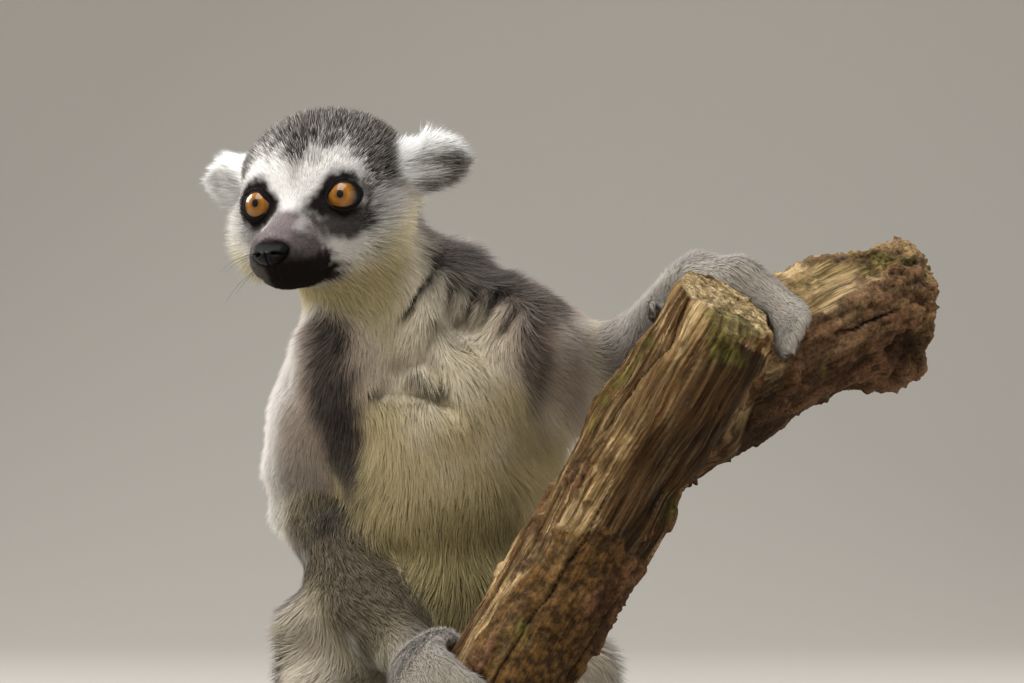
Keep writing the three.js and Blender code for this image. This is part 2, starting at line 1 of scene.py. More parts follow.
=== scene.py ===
"""Ring-tailed lemur, life size, seated with both hands on a forked branch, on a round display base.

One skin is grown inside the frame's solids of flesh, marked as the species is, and dressed in tufts of fur.
Metres, +Z up. The lemur faces -Y and its left is +X. In the head's own frame, in millimetres, x is the
lemur's left, y runs backwards and z up, from the midpoint between the eyes.
"""
import functools
import math
from types import SimpleNamespace

import bmesh
import bpy
import numpy as np
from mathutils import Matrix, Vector, noise
from mathutils.bvhtree import BVHTree


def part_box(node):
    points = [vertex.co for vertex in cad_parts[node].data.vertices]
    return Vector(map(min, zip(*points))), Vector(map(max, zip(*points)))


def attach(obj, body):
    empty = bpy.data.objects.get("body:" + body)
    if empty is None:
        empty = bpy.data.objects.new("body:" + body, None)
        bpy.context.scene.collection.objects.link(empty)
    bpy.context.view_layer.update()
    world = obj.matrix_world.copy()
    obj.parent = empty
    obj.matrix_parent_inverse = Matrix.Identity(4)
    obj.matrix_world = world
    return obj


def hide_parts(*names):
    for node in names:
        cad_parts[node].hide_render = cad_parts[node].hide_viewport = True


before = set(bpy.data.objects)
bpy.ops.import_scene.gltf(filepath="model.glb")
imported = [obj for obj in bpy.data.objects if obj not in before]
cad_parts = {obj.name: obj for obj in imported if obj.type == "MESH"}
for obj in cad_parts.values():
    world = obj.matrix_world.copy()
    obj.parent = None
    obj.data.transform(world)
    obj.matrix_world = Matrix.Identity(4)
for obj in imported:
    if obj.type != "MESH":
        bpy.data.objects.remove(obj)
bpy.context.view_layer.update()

bl_info = {
    "name": "Ring-tailed Lemur",
    "version": (1, 0, 0),
    "blender": (4, 5, 0),
    "location": "View3D > Sidebar > Lemur",
    "description": "Builds the skin, coat, face, branch and stand of a life-size ring-tailed lemur",
    "category": "Add Mesh",
}

MM = 0.001
SIDES = ("left", "right")
SIGN = {"left": 1, "right": -1}
BODY = "root"
BRANCH_NODES = sorted(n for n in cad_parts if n.startswith("branch"))
NOT_FLESH = ("eye", "nose", "branch", "stand")
FLESH_NODES = sorted(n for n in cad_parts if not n.startswith(NOT_FLESH))


# ---- Small helpers ----
def colour(code):
    """An sRGB hex code as linear RGB."""
    parts = [int(code[i : i + 2], 16) / 255 for i in (0, 2, 4)]
    return np.array([c / 12.92 if c <= 0.04045 else ((c + 0.055) / 1.055) ** 2.4 for c in parts])


def rgba(code):
    return (*colour(code), 1)


def unit(v):
    return v / np.maximum(np.linalg.norm(v, axis=-1, keepdims=True), 1e-9)


def smooth_step(value, low, high):
    t = np.clip((value - low) / (high - low), 0, 1)
    return t * t * (3 - 2 * t)


def mix(a, b, share):
    """From number a to number b by a share."""
    return a + (b - a) * share


def blend(a, b, share):
    """Colours from a to b, each one colour or a colour for each point, by a share for each point."""
    return a + (b - a) * share[:, None]


def bell(value, width):
    """1 where the value is 0, falling away to both sides within about the width."""
    return np.exp(-((value / width) ** 2))


def egg_share(mm, centre, radii):
    """1 on the surface of an egg-shaped place, less inside it and more outside it."""
    return np.linalg.norm((mm - centre) / radii, axis=1)


def waves(points, size, seed):
    """Smooth noise from about -1 to 1, with lumps of a size, at each point."""
    random = np.random.default_rng(seed)
    total = np.zeros(len(points))
    for _ in range(7):
        way = unit(random.normal(size=3)) * random.uniform(0.7, 1.5) * 2 * math.pi / size
        total += np.sin(points @ way + random.uniform(0, 2 * math.pi))
    return total / 3.2


def read(data, key, width, kind=np.float32):
    flat = np.empty(len(data) * width, kind)
    data.foreach_get(key, flat)
    return flat.reshape(-1, width) if width > 1 else flat


def mesh_points(mesh):
    return read(mesh.vertices, "co", 3).astype(float)


def mesh_normals(mesh):
    return read(mesh.vertex_normals, "vector", 3).astype(float)


def set_points(mesh, points):
    mesh.vertices.foreach_set("co", points.astype(np.float32).ravel())
    mesh.update()


def store(mesh, name, kind, values, domain="POINT"):
    """A named attribute of a mesh, for the coat and the materials to read."""
    key = {"FLOAT": "value", "INT": "value", "FLOAT_VECTOR": "vector", "FLOAT_COLOR": "color"}[kind]
    layer = mesh.attributes.new(name, kind, domain)
    layer.data.foreach_set(key, np.asarray(values, np.int32 if kind == "INT" else np.float32).ravel())


def as_colour(rgb):
    return np.concatenate([rgb, np.ones((len(rgb), 1))], axis=1)


def show(name, mesh, material=None, replaces=()):
    """A finished piece of the model: an object that rides with the body and takes its finish from a slot."""
    piece = bpy.data.objects.new(name, mesh)
    bpy.context.scene.collection.objects.link(piece)
    if material:
        mesh.materials.clear()
        mesh.materials.append(material)
    mesh.polygons.foreach_set("use_smooth", [True] * len(mesh.polygons))
    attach(piece, BODY)
    if replaces:
        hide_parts(*replaces)
    return piece


def mesh_from(name, points, faces):
    mesh = bpy.data.meshes.new(name)
    mesh.from_pydata([tuple(p) for p in points], [], [tuple(int(i) for i in f) for f in faces])
    mesh.update()
    return mesh


def add_node(tree, kind, inputs=None, output=0, **settings):
    """Adds a node and gives one of its outputs; each input is a value or another node's output."""
    node = tree.nodes.new(kind)
    for key, value in settings.items():
        setattr(node, key, value)
    for key, value in (inputs or {}).items():
        if isinstance(value, bpy.types.NodeSocket):
            tree.links.new(value, node.inputs[key])
        else:
            node.inputs[key].default_value = value
    return node.outputs[output]


NODE_POINTS = {name: mesh_points(node.data) for name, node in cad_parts.items()}


def tree_of(*names):
    """A search tree over the solids of some nodes."""
    points, polygons = [], []
    for name in names:
        start = len(points)
        points += [tuple(p) for p in NODE_POINTS[name]]
        polygons += [tuple(start + i for i in p.vertices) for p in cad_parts[name].data.polygons]
    return BVHTree.FromPolygons(points, polygons)


def meeting(a, b, reach=3 * MM):
    """The middle of the face of node a that meets node b."""
    tree = tree_of(b)
    near = [p for p in NODE_POINTS[a] if tree.find_nearest(tuple(p), reach)[0]]
    if not near:
        raise RuntimeError(f"{a} and {b} don't meet")
    return np.mean(near, axis=0)


def middle(name):
    return NODE_POINTS[name].mean(axis=0)


def farthest(name, start, share=0.06):
    """The middle of the part of a node that lies farthest from a place."""
    points = NODE_POINTS[name]
    order = np.argsort(-np.linalg.norm(points - start, axis=1))
    return points[order[: max(3, int(len(points) * share))]].mean(axis=0)


# ---- The head's own frame ----
NOSE_DROP = math.atan2(16.0, 33.0)  # how far below straight ahead the nose lies from the eyes
EYES = {side: middle(f"eye_{side}") for side in SIDES}
EYE_RADIUS = float(np.ptp(NODE_POINTS["eye_left"][:, 2])) / 2 / MM
HEAD_ORIGIN = (EYES["left"] + EYES["right"]) / 2


def head_axes():
    to_left = unit(EYES["left"] - EYES["right"])
    to_nose = middle("nose") - HEAD_ORIGIN
    to_nose = unit(to_nose - to_left * (to_nose @ to_left))
    over_nose = np.cross(to_left, to_nose)
    over_nose *= math.copysign(1, over_nose[2])
    to_back = -(math.cos(NOSE_DROP) * to_nose + math.sin(NOSE_DROP) * over_nose)
    to_top = -math.sin(NOSE_DROP) * to_nose + math.cos(NOSE_DROP) * over_nose
    return np.array([to_left, to_back, to_top])


HEAD_AXES = head_axes()


def in_head(points):
    """World metres to the head's own millimetres."""
    return (points - HEAD_ORIGIN) @ HEAD_AXES.T / MM


def from_head(points):
    """The head's own millimetres to world metres."""
    return np.asarray(points, float) * MM @ HEAD_AXES + HEAD_ORIGIN


EYE_SPREAD = float(in_head(EYES["left"])[0])
NOSE_PLACE = in_head(middle("nose"))
NOSE_TIP = NOSE_PLACE + np.array([0, -4.0, 0])
NOSE_CENTRE = NOSE_PLACE + np.array([-1.1, -0.8, -0.9])  # the bare nose is a little lower than its solid
NOSE_RADII = np.array([6.6, 4.9, 4.2])
BALLS = {"left": EYES["left"], "right": EYES["right"] + 1.2 * MM * HEAD_AXES[0]}  # the middle of each eyeball


def nose_share(head, grow=0.0):
    """1 on the surface of the bare nose, grown by some mm; less inside it and more outside it."""
    return egg_share(head, NOSE_CENTRE, NOSE_RADII + grow)


# ---- Bones: the line of each part of the body, from its root to its end ----
def limb_bones(side):
    elbow = meeting(f"upper_arm_{side}", f"forearm_{side}")
    wrist = meeting(f"forearm_{side}", f"hand_{side}")
    shoulder = elbow + 1.75 * (middle(f"upper_arm_{side}") - elbow)
    hip = meeting(f"thigh_{side}", "belly")
    knee = meeting(f"thigh_{side}", f"shin_{side}")
    ankle = meeting(f"shin_{side}", f"foot_{side}")
    return {
        f"upper_arm_{side}": (shoulder, elbow),
        f"forearm_{side}": (elbow, wrist),
        f"hand_{side}": (wrist, farthest(f"hand_{side}", wrist)),
        f"thigh_{side}": (hip, knee),
        f"shin_{side}": (knee, ankle),
        f"foot_{side}": (ankle, farthest(f"foot_{side}", ankle)),
    }


def all_bones():
    neck_root, waist = meeting("chest", "neck"), meeting("chest", "belly")
    rump = np.array([*middle("belly")[:2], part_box("belly")[0].z + 0.02])
    bones = {
        "head": (from_head([0, 4, -6]), from_head([0, 34, 6])),
        "neck": (meeting("neck", "head"), neck_root),
        "chest": (neck_root, waist),
        "belly": (waist, rump),
    }
    for side in SIDES:
        bones.update(limb_bones(side))
    tail = [meeting("tail_1", "belly"), *(meeting(f"tail_{n}", f"tail_{n + 1}") for n in (1, 2, 3))]
    tail.append(farthest("tail_4", tail[-1]))
    for n in range(4):
        bones[f"tail_{n + 1}"] = (tail[n], tail[n + 1])
    for side in SIDES:
        root = meeting(f"ear_{side}", "head")
        bones[f"ear_{side}"] = (root, farthest(f"ear_{side}", root))
    return bones


BONES = all_bones()
BONE_NAMES = list(BONES)


def bone_distances(points, names):
    """Distance from each point to each bone, and how far along the bone it lies, from 0 to 1."""
    away, along = [], []
    for name in names:
        start, end = BONES[name]
        axis = end - start
        t = np.clip((points - start) @ axis / (axis @ axis), 0, 1)
        away.append(np.linalg.norm(points - start - t[:, None] * axis, axis=1))
        along.append(t)
    return np.array(away).T, np.array(along).T


GIRTHS = np.array([bone_distances(NODE_POINTS[n], [n])[0].mean() for n in BONE_NAMES])
SHARPNESS = 9.0  # how quickly one part's share gives way to the next


def bone_shares(points):
    """How much each point belongs to each bone, and how far along each it lies."""
    away, along = bone_distances(points, BONE_NAMES)
    relative = away / GIRTHS
    shares = np.exp(-SHARPNESS * (relative - relative.min(axis=1, keepdims=True)))
    return shares / shares.sum(axis=1, keepdims=True), along


def share_of(shares, *starts):
    return sum(shares[:, i] for i, n in enumerate(BONE_NAMES) if n.startswith(starts))


# ---- The coat's length in mm and its rise from the skin in degrees ----
COAT = {
    "head": (5, 32), "ear": (7.5, 28), "neck": (8.5, 25), "chest": (13, 23), "belly": (13, 27),
    "upper": (8.5, 23), "forearm": (6.5, 21), "hand": (4.2, 15),
    "thigh": (11, 28), "shin": (8, 24), "foot": (4, 15), "tail": (16, 38),
}


def face_length(head):
    """The hair's length on the head: velvet on the muzzle and round the eyes, a ruff on the cheeks."""
    from_nose = np.linalg.norm(head - NOSE_PLACE, axis=1)
    eyes = [[sign * EYE_SPREAD, 0, 0] for sign in SIGN.values()]
    from_eye = np.min([np.linalg.norm(head - eye, axis=1) for eye in eyes], axis=0)
    ruff = 3.0 * smooth_step(head[:, 1], -2, 16) * smooth_step(-head[:, 2], 0, 12)
    plush = 1.3 * smooth_step(head[:, 2], 12, 24)
    length = 1.4 + 3.4 * smooth_step(from_nose, 20, 56) + ruff - plush
    return length * (0.35 + 0.65 * smooth_step(from_eye, 9, 20))


def head_rise(head):
    """How steeply the head's hair stands, in degrees: like plush on the crown, flat on the muzzle."""
    crown = smooth_step(head[:, 2], 5, 20)
    muzzle = smooth_step(-head[:, 1], 6, 18)
    return 31 + 42 * crown - 12 * muzzle


def fringe(head, shares):
    """Extra length in mm of the soft hair that stands out from the cheeks and the ears' roots."""
    x, y, z = head.T
    cheek = smooth_step(np.abs(x), 14, 24) * smooth_step(y, -3, 6)
    cheek = cheek * smooth_step(-z, -6, 4) * (1 - smooth_step(-z, 24, 32))
    ear_root = smooth_step(-np.abs(x), -44, -32)
    return 6.5 * cheek * share_of(shares, "head") + 3.0 * ear_root * share_of(shares, "ear")


def coat_of(points, shares):
    """Length in metres and rise in radians of the coat at each point."""
    kinds = [COAT[name.split("_")[0]] for name in BONE_NAMES]
    length = shares @ np.array([k[0] for k in kinds])
    rise = shares @ np.array([math.radians(k[1]) for k in kinds])
    on_head = share_of(shares, "head")
    head = in_head(points)
    length += on_head * (face_length(head) - COAT["head"][0])
    rise += on_head * np.radians(head_rise(head) - COAT["head"][1])
    return length * MM, rise


# ---- Skin ----
CLOSING = 1.3 * MM  # grows the solids over the thin cuts between them
WIDE_CLOSING = 2.8 * MM  # the same where several thick parts meet
THICK = ("neck", "chest", "belly", "upper", "thigh", "tail")
FACE_BACK = 15.0  # the face ends this far behind the eyes, in mm
DEPTH_SHARE = 0.85  # the part of the hair's own height that the coat stands over the skin


def copy_of(names, grow):
    """One mesh of several nodes' solids, each grown outwards by grow(name)."""
    merged = bmesh.new()
    for name in names:
        part = bmesh.new()
        part.from_mesh(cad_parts[name].data)
        bmesh.ops.remove_doubles(part, verts=part.verts, dist=1e-6)
        part.normal_update()
        for vertex in part.verts:
            vertex.co += vertex.normal * grow(name)
        mesh = bpy.data.meshes.new("part")
        part.to_mesh(mesh)
        part.free()
        merged.from_mesh(mesh)
        bpy.data.meshes.remove(mesh)
    mesh = bpy.data.meshes.new("solids")
    merged.to_mesh(mesh)
    merged.free()
    return mesh


def with_modifiers(mesh, *modifiers):
    """The mesh after the modifiers, each a type and its settings."""
    thing = bpy.data.objects.new("work", mesh)
    bpy.context.scene.collection.objects.link(thing)
    for kind, settings in modifiers:
        modifier = thing.modifiers.new(kind, kind)
        for key, value in settings.items():
            setattr(modifier, key, value)
    result = bpy.data.meshes.new_from_object(thing.evaluated_get(bpy.context.evaluated_depsgraph_get()))
    bpy.data.objects.remove(thing)
    return result


def outer_shell(mesh):
    """Keeps only the largest of a mesh's separate surfaces."""
    edges = read(mesh.edges, "vertices", 2, np.int32)
    label = np.arange(len(mesh.vertices))
    while True:
        low = np.minimum(label[edges[:, 0]], label[edges[:, 1]])
        new = label.copy()
        np.minimum.at(new, edges[:, 0], low)
        np.minimum.at(new, edges[:, 1], low)
        new = new[new]
        if (new == label).all():
            break
        label = new
    main = np.bincount(label).argmax()
    shell = bmesh.new()
    shell.from_mesh(mesh)
    bmesh.ops.delete(shell, geom=[v for v in shell.verts if label[v.index] != main], context="VERTS")
    shell.to_mesh(mesh)
    shell.free()
    return mesh


def eased(points, edges, rounds, share):
    """Each point drawn towards the middle of its neighbours, by its own share, several times."""
    count = len(points)
    both = np.concatenate([edges, edges[:, ::-1]])
    valence = np.maximum(np.bincount(both[:, 0], minlength=count), 1)
    for _ in range(rounds):
        around = np.stack([np.bincount(both[:, 0], points[both[:, 1], i], count) for i in range(3)], 1)
        points = points + share[:, None] * (around / valence[:, None] - points)
    return points


def edges_of(mesh):
    return read(mesh.edges, "vertices", 2, np.int32)


def remeshed(mesh, voxel):
    return outer_shell(with_modifiers(mesh, ("REMESH", {"mode": "VOXEL", "voxel_size": voxel})))


def union(names, voxel, grow):
    """One smooth-walled solid of several nodes, with the thin cuts between them closed."""
    return remeshed(copy_of(names, grow), voxel)


def closing(name):
    return WIDE_CLOSING if name.startswith(THICK) else CLOSING


EAR_RIM = 1.1 * MM  # the ear's rim would be lost if it were drawn in as far as the rest
DRAWING_STEPS = 5


def skin_shape(voxel):
    """The solids joined, smoothed, and drawn in by the depth of the coat."""
    joined = union([*FLESH_NODES, "eye_left", "eye_right", "nose"], voxel, closing)
    points, edges = mesh_points(joined), edges_of(joined)
    shares, _ = bone_shares(points)
    fine = np.clip(1.4 * share_of(shares, "hand", "foot", "ear", "head"), 0, 1)
    points = eased(points, edges, 5, np.full(len(points), 0.5))
    points = eased(points, edges, 40, 0.5 * (1 - 0.98 * fine))
    set_points(joined, points)
    length, rise = coat_of(points, shares)
    grown = mix(CLOSING, WIDE_CLOSING, share_of(shares, *THICK))
    depth = length * np.sin(rise) * DEPTH_SHARE + grown - share_of(shares, "ear") * EAR_RIM
    for _ in range(DRAWING_STEPS):
        points = points - mesh_normals(joined) * (depth / DRAWING_STEPS)[:, None]
        points = eased(points, edges, 2, 0.3 * (1 - 0.8 * fine))
        set_points(joined, points)
    return remeshed(joined, voxel)


FACE_HALF_WIDTH, FACE_HALF_HEIGHT = 36, 38  # mm


def on_face(mesh):
    """Whether each point of the skin belongs to the face."""
    x, y, z = in_head(mesh_points(mesh)).T
    return (y < FACE_BACK) & (np.abs(x) < FACE_HALF_WIDTH) & (np.abs(z) < FACE_HALF_HEIGHT)


def finer_face(mesh):
    """Divides the face's part of the skin twice, so that lids and lips can be shaped."""
    for _ in range(2):
        face = on_face(mesh)
        work = bmesh.new()
        work.from_mesh(mesh)
        chosen = {e for f in work.faces if all(face[v.index] for v in f.verts) for e in f.edges}
        bmesh.ops.subdivide_edges(work, edges=list(chosen), cuts=1, use_grid_fill=True)
        bmesh.ops.triangulate(work, faces=[f for f in work.faces if len(f.verts) > 4])
        work.to_mesh(mesh)
        work.free()
        set_points(mesh, eased(mesh_points(mesh), edges_of(mesh), 3, 0.5 * on_face(mesh)))
    return mesh


# Which way each eye's opening faces in the head's frame, and its size in mm.
OPENING_WAY = {"left": (0.26, -0.95, 0.17), "right": (-0.16, -0.972, 0.15)}
OPENING = {"left": 5.6, "right": 4.9, "half_height": 4.5, "inner_corner": 1.0}


def eye_frame(side):
    """The eye's centre in the head's frame, and the axes outwards to the side, forwards and up."""
    forward = unit(np.array(OPENING_WAY[side]))
    outward = unit(np.cross(forward, [0, 0, 1.0]))
    outward *= math.copysign(1, outward[0] * SIGN[side])
    up = np.cross(outward, forward)
    up *= math.copysign(1, up[2])
    return in_head(BALLS[side]), outward, forward, up


def opening_share(outward, up, side):
    """1 on the edge of the eye's opening, less inside it and more outside it."""
    inner = smooth_step(-outward, 1.0, OPENING[side])
    drawn = up + inner * 0.9
    width = OPENING[side] + inner * OPENING["inner_corner"]
    height = OPENING["half_height"] * (1 - 0.25 * inner)
    return np.sqrt((outward / width) ** 2 + (drawn / height) ** 2)


def eye_opening(head, side):
    """Each point's offset from the eye's centre, and its place in or round the opening."""
    centre, outward, forward, up = eye_frame(side)
    offset = head - centre
    share = opening_share(offset @ outward, offset @ up, side)
    return offset, np.where(offset @ forward > -1, share, 9.0)


MOUTH = {"front": (-33.0, -25.0), "end": (-5.0, -23.5), "bow": 2.2}  # y and z of the lips' line


def mouth_distance(head):
    """How far each point lies above the lips' line, in mm, and 1 where the line runs."""
    (y0, z0), (y1, z1) = MOUTH["front"], MOUTH["end"]
    t = (head[:, 1] - y0) / (y1 - y0)
    line = z0 + (z1 - z0) * t - MOUTH["bow"] * np.sin(np.clip(t, 0, 1) * math.pi)
    return head[:, 2] - line, smooth_step(t, -0.3, 0.05) * (1 - smooth_step(t, 0.92, 1.1))


WHISKER_PAD, WHISKER_PAD_RADII = (7.5, -24, -17), (4, 7, 5)  # on the left of the muzzle, in mm


def shape_lids(head):
    """Draws the skin over both eyeballs as lids, with a fold round each."""
    for side in SIDES:
        offset, opening = eye_opening(head, side)
        far = np.linalg.norm(offset, axis=1)
        lid = EYE_RADIUS + 0.6 - 3.1 * (1 - smooth_step(opening, 0.94, 1.06))
        fold = bell(opening - 1.8, 0.2) - 0.8 * bell(opening - 1.5, 0.13)
        wanted = mix(lid, far, smooth_step(opening, 1.25, 2.3)) + 0.55 * fold
        drawn = in_head(BALLS[side]) + unit(offset) * wanted[:, None]
        head = np.where((opening < 2.9)[:, None], drawn, head)
    return head


def shape_face(mesh):
    """Makes the lids, lips and whisker pads, and the bed that the nose lies in."""
    head = shape_lids(in_head(mesh_points(mesh)))
    normals = mesh_normals(mesh) @ HEAD_AXES.T
    above, runs = mouth_distance(head)
    muzzle = smooth_step(-head[:, 1], 2, 10)
    lips = -0.55 * bell(above, 0.7) * runs * muzzle
    mirrored = [np.array(WHISKER_PAD) * [sign, 1, 1] for sign in SIGN.values()]
    pads = sum(bell(egg_share(head, place, WHISKER_PAD_RADII), 1) for place in mirrored)
    cleft = bell(head[:, 0], 0.7) * smooth_step(-head[:, 1], 31, 34) * smooth_step(-head[:, 2], 19, 21)
    rim = nose_share(head)
    sunk = 1.0 * (1 - smooth_step(rim, 0.95, 1.1)) - 0.5 * bell(rim - 1.25, 0.12)
    head = head + normals * (lips + 1.1 * pads - 0.8 * cleft - sunk)[:, None]
    set_points(mesh, from_head(head))


# ---- Markings ----
WHITE, FACE_WHITE, CHEST_WHITE = colour("FFFEFA"), colour("EBE7E1"), colour("EADDC4")
# Olive cream is partly painted shade: the coat's cream dulled and tinted olive where shade falls.
CREAM, SHADED_OLIVE_CREAM = colour("D9C89C"), colour("AC9F68")
PALE_GREY, GREY, LILAC = colour("C6BFB6"), colour("9C948C"), colour("97898A")
BROWN_GREY, CHARCOAL, BLACK = colour("958878"), colour("4A4542"), colour("191412")
CAP_GREY, UNDER_EYE, ARM_BROWN = colour("38332F"), colour("2A2222"), colour("BFAB9B")
BARE_SKIN, EAR_BROWN = colour("1C1716"), colour("4A4234")
# The right forearm's grey is darkened as painted shade; the left keeps its own grey.
FOREARM_GREYS_AND_SHADE = {"left": GREY, "right": GREY * [0.5, 0.46, 0.36]}
UNDER_EYE_SHARE = {"left": 0.95, "right": 0.6}  # how dark the patch under each eye is
CROWN_LINE = 19.5  # mm over the eyes where the dark cap starts
TAIL_RINGS = 14
EAR_ROOT_HEIGHT = float(in_head(BONES["ear_left"][0])[2])


# Dark patches of the body, charcoal fur on the neck and shoulders and painted shade between the right upper
# arm and the chest: the centre and radii of each in mm, and how dark it is.
DARK_PATCHES_AND_SHADE = [
    ((10, 8, 270), (20, 24, 20), 0.85),
    ((29, 16, 257), (18, 20, 12), 0.85),
    ((32, -2, 236), (6, 18, 24), 0.7),
    ((-45, -6, 240), (10, 20, 12), 0.85),
    # These four patches are painted shade between the right upper arm and the chest.
    ((-43, -5, 224), (9.5, 18, 19), 0.95),
    ((-40, -4, 203), (8.5, 16, 20), 0.95),
    ((-38, -6, 186), (9, 16, 11), 0.9),
    ((-47, -8, 175), (12, 22, 9), 0.9),
    ((-8, -2, 274), (5, 18, 18), 0.6),
]
# Folds and creases of the neck and chest, each drawn dark as painted shade along it: each line's points,
# width and depth in mm, and how dark its painted shade is.
FOLDS = [
    (((-3, 10, 281), (-8, -4, 271), (-12, -12, 262), (-17, -15, 251)), 1.9, 1.6, 1.0),
    (((-1, -2, 264), (-2, -5, 256), (-4, -5, 250)), 1.6, 1.0, 0.95),
    (((9, 0, 262), (7, 1, 256), (2, 3, 250)), 1.6, 0.8, 0.95),
    (((19, -1, 261), (12, -3, 249)), 1.6, 0.8, 0.95),
    (((26, -4, 256), (20, -5, 246)), 1.5, 0.8, 0.85),
    (((-7, -10, 249), (-8, -11, 238), (0, -15, 220)), 1.7, 2.0, 0.85),
    (((-34, -6, 239), (-22, -10, 236), (-9, -11, 237)), 1.3, 1.2, 0.5),
    (((-30, -11, 223), (-22, -12, 226), (-13, -12, 225), (-2, -14, 219)), 1.8, 2.2, 0.85),
]


def nearest_on_line(mm, line):
    """Distance in mm from each point to a line of points, and the line's way there."""
    best, way = np.full(len(mm), 1e9), np.zeros((len(mm), 3))
    for start, end in zip(np.array(line[:-1], float), np.array(line[1:], float)):
        axis = end - start
        t = np.clip((mm - start) @ axis / (axis @ axis), 0, 1)
        off = np.linalg.norm(mm - start - t[:, None] * axis, axis=1)
        way = np.where((off < best)[:, None], unit(axis), way)
        best = np.minimum(best, off)
    return best, way


def line_distance(mm, line):
    return nearest_on_line(mm, line)[0]


def blob(points, centre, radii, seed):
    """1 inside an egg-shaped patch with a ragged soft edge, 0 outside; centre and radii in mm."""
    far = egg_share(points / MM, centre, radii) + 0.13 * waves(points / MM, 14, seed)
    return 1 - smooth_step(far, 0.65, 1.35)


def eye_marks(marks, head, ragged):
    """Black round each eye, drawn out to its inner corner, and brown-black under it."""
    x, y, z = head.T
    for side, sign in SIGN.items():
        across, up = sign * x - EYE_SPREAD, z - 1.2
        inner = smooth_step(-across, 2, 12)
        reach_up = np.where(up > 0, 9.5, 9.0) * (1 - 0.45 * inner)
        reach_across = np.where(across > 0, 9.5, 12.5)
        far = np.hypot(across / reach_across, (up + 3.0 * inner) / reach_up) + 0.07 * ragged
        front = smooth_step(-y, -14, -8) * (sign * x > 2.0)
        below = np.hypot((across - 1.5) / 10.5, (up + 9) / 8) + 0.09 * ragged
        marks = blend(marks, UNDER_EYE, (1 - smooth_step(below, 0.6, 1.22)) * front * UNDER_EYE_SHARE[side])
        marks = blend(marks, CHARCOAL, (1 - smooth_step(far, 0.95, 1.35)) * front * 0.5)
        marks = blend(marks, BLACK, (1 - smooth_step(far, 0.75, 1.1)) * front)
    return marks


def muzzle_marks(marks, head, ragged):
    """A lilac bridge, a muzzle that darkens to black lips, and black round the nose."""
    x, y, z = head.T
    side = np.abs(x)
    snout = smooth_step(-z - 0.545 * y - 0.12 * side + 1.5 * ragged, 20.5, 26.0) * smooth_step(-y, -12, -8)
    throat = smooth_step(-z, 27.5, 30) * smooth_step(y, -6, 4)
    shade = blend(LILAC * 0.42, BLACK, smooth_step(-z + 0.9 * ragged, 16.0, 21.5))
    marks = blend(marks, shade, snout * (1 - 0.9 * throat))
    far_lip = smooth_step(-x, 3, 6) * smooth_step(-z, 18.5, 21) * smooth_step(-y, 24, 28)
    marks = blend(marks, GREY * 0.6, far_lip * 0.5)
    bridge = 1 - smooth_step(side + 0.4 * ragged, 4.5, 8.0)
    bridge = bridge * smooth_step(-y, 13, 19) * smooth_step(z, -17, -14)
    marks = blend(marks, LILAC * 0.72, bridge * 0.95)
    return blend(marks, BLACK, 1 - smooth_step(nose_share(head), 1.15, 1.45))


def head_marks(head):
    """The colours of the head: white face, dark cap, black eye patches, lilac bridge and black muzzle."""
    x, y, z = head.T
    side = np.abs(x)
    ragged = waves(head, 7, 3) * 0.9 + waves(head, 3, 4) * 0.7
    # The olive cream under the jaw and low on the cheeks is partly painted shade.
    marks = blend(FACE_WHITE, SHADED_OLIVE_CREAM, smooth_step(y, -6, 12) * smooth_step(-z, 4, 20) * 0.85)
    marks = blend(marks, GREY, smooth_step(side + 0.5 * ragged, 20, 28) * smooth_step(z, -16, 0) * 0.45)
    marks = blend(marks, GREY, bell(side, 2.6) * smooth_step(z, 2, 12) * 0.55)
    streak = smooth_step(-y, 8, 16) * smooth_step(-z, -2, 8) * smooth_step(side + ragged, 4, 8)
    marks = blend(marks, LILAC, streak * (0.5 + 0.25 * ragged))
    peak = 4.0 * bell(side, 3.0)
    behind = 26 * smooth_step(y, 34, 48)
    temple = 15 * smooth_step(side, 15, 27) * smooth_step(y, -4, 8)
    cap = smooth_step(z - (CROWN_LINE - peak - behind - temple) + 2.2 * ragged, -6, 4.5)
    marks = blend(marks, CAP_GREY, cap * 0.95)
    return eye_marks(muzzle_marks(marks, head, ragged), head, ragged)


def tail_way(shares, along):
    """How far along the tail each point lies, from 0 at the root to 1 at the tip."""
    tail = [i for i, n in enumerate(BONE_NAMES) if n.startswith("tail")]
    best = np.argmax(shares[:, tail], axis=1)
    return (best + along[np.arange(len(along)), np.array(tail)[best]]) / len(tail)


def trunk_marks(mm, normals, shares, front):
    """Grey over the back, darker on the shoulders, and white to cream down the front, dulled to olive as
    painted shade on the throat and low on the belly.
    """
    back = blend(GREY, BROWN_GREY, smooth_step(normals[:, 1], 0.2, 0.8))
    shoulders = smooth_step(mm[:, 2], 235, 285) * smooth_step(normals[:, 1], -0.2, 0.4)
    back = blend(back, CHARCOAL * 1.6, shoulders * 0.8)
    pale = blend(CREAM, CHEST_WHITE, smooth_step(mm[:, 2] + 14 * waves(mm, 30, 7), 200, 236))
    # Low on the belly the cream is darkened to olive as painted shade.
    pale = blend(pale, SHADED_OLIVE_CREAM * 0.7, smooth_step(-mm[:, 2] - 8 * waves(mm, 30, 9), -205, -150) * 0.7)
    ragged = ragged_edge(mm)
    # The throat's olive is partly painted shade.
    throat = share_of(shares, "neck") * smooth_step(-mm[:, 0] + 6 * ragged, 12, 24)
    return blend(back, blend(pale, SHADED_OLIVE_CREAM, throat * 0.8), front)


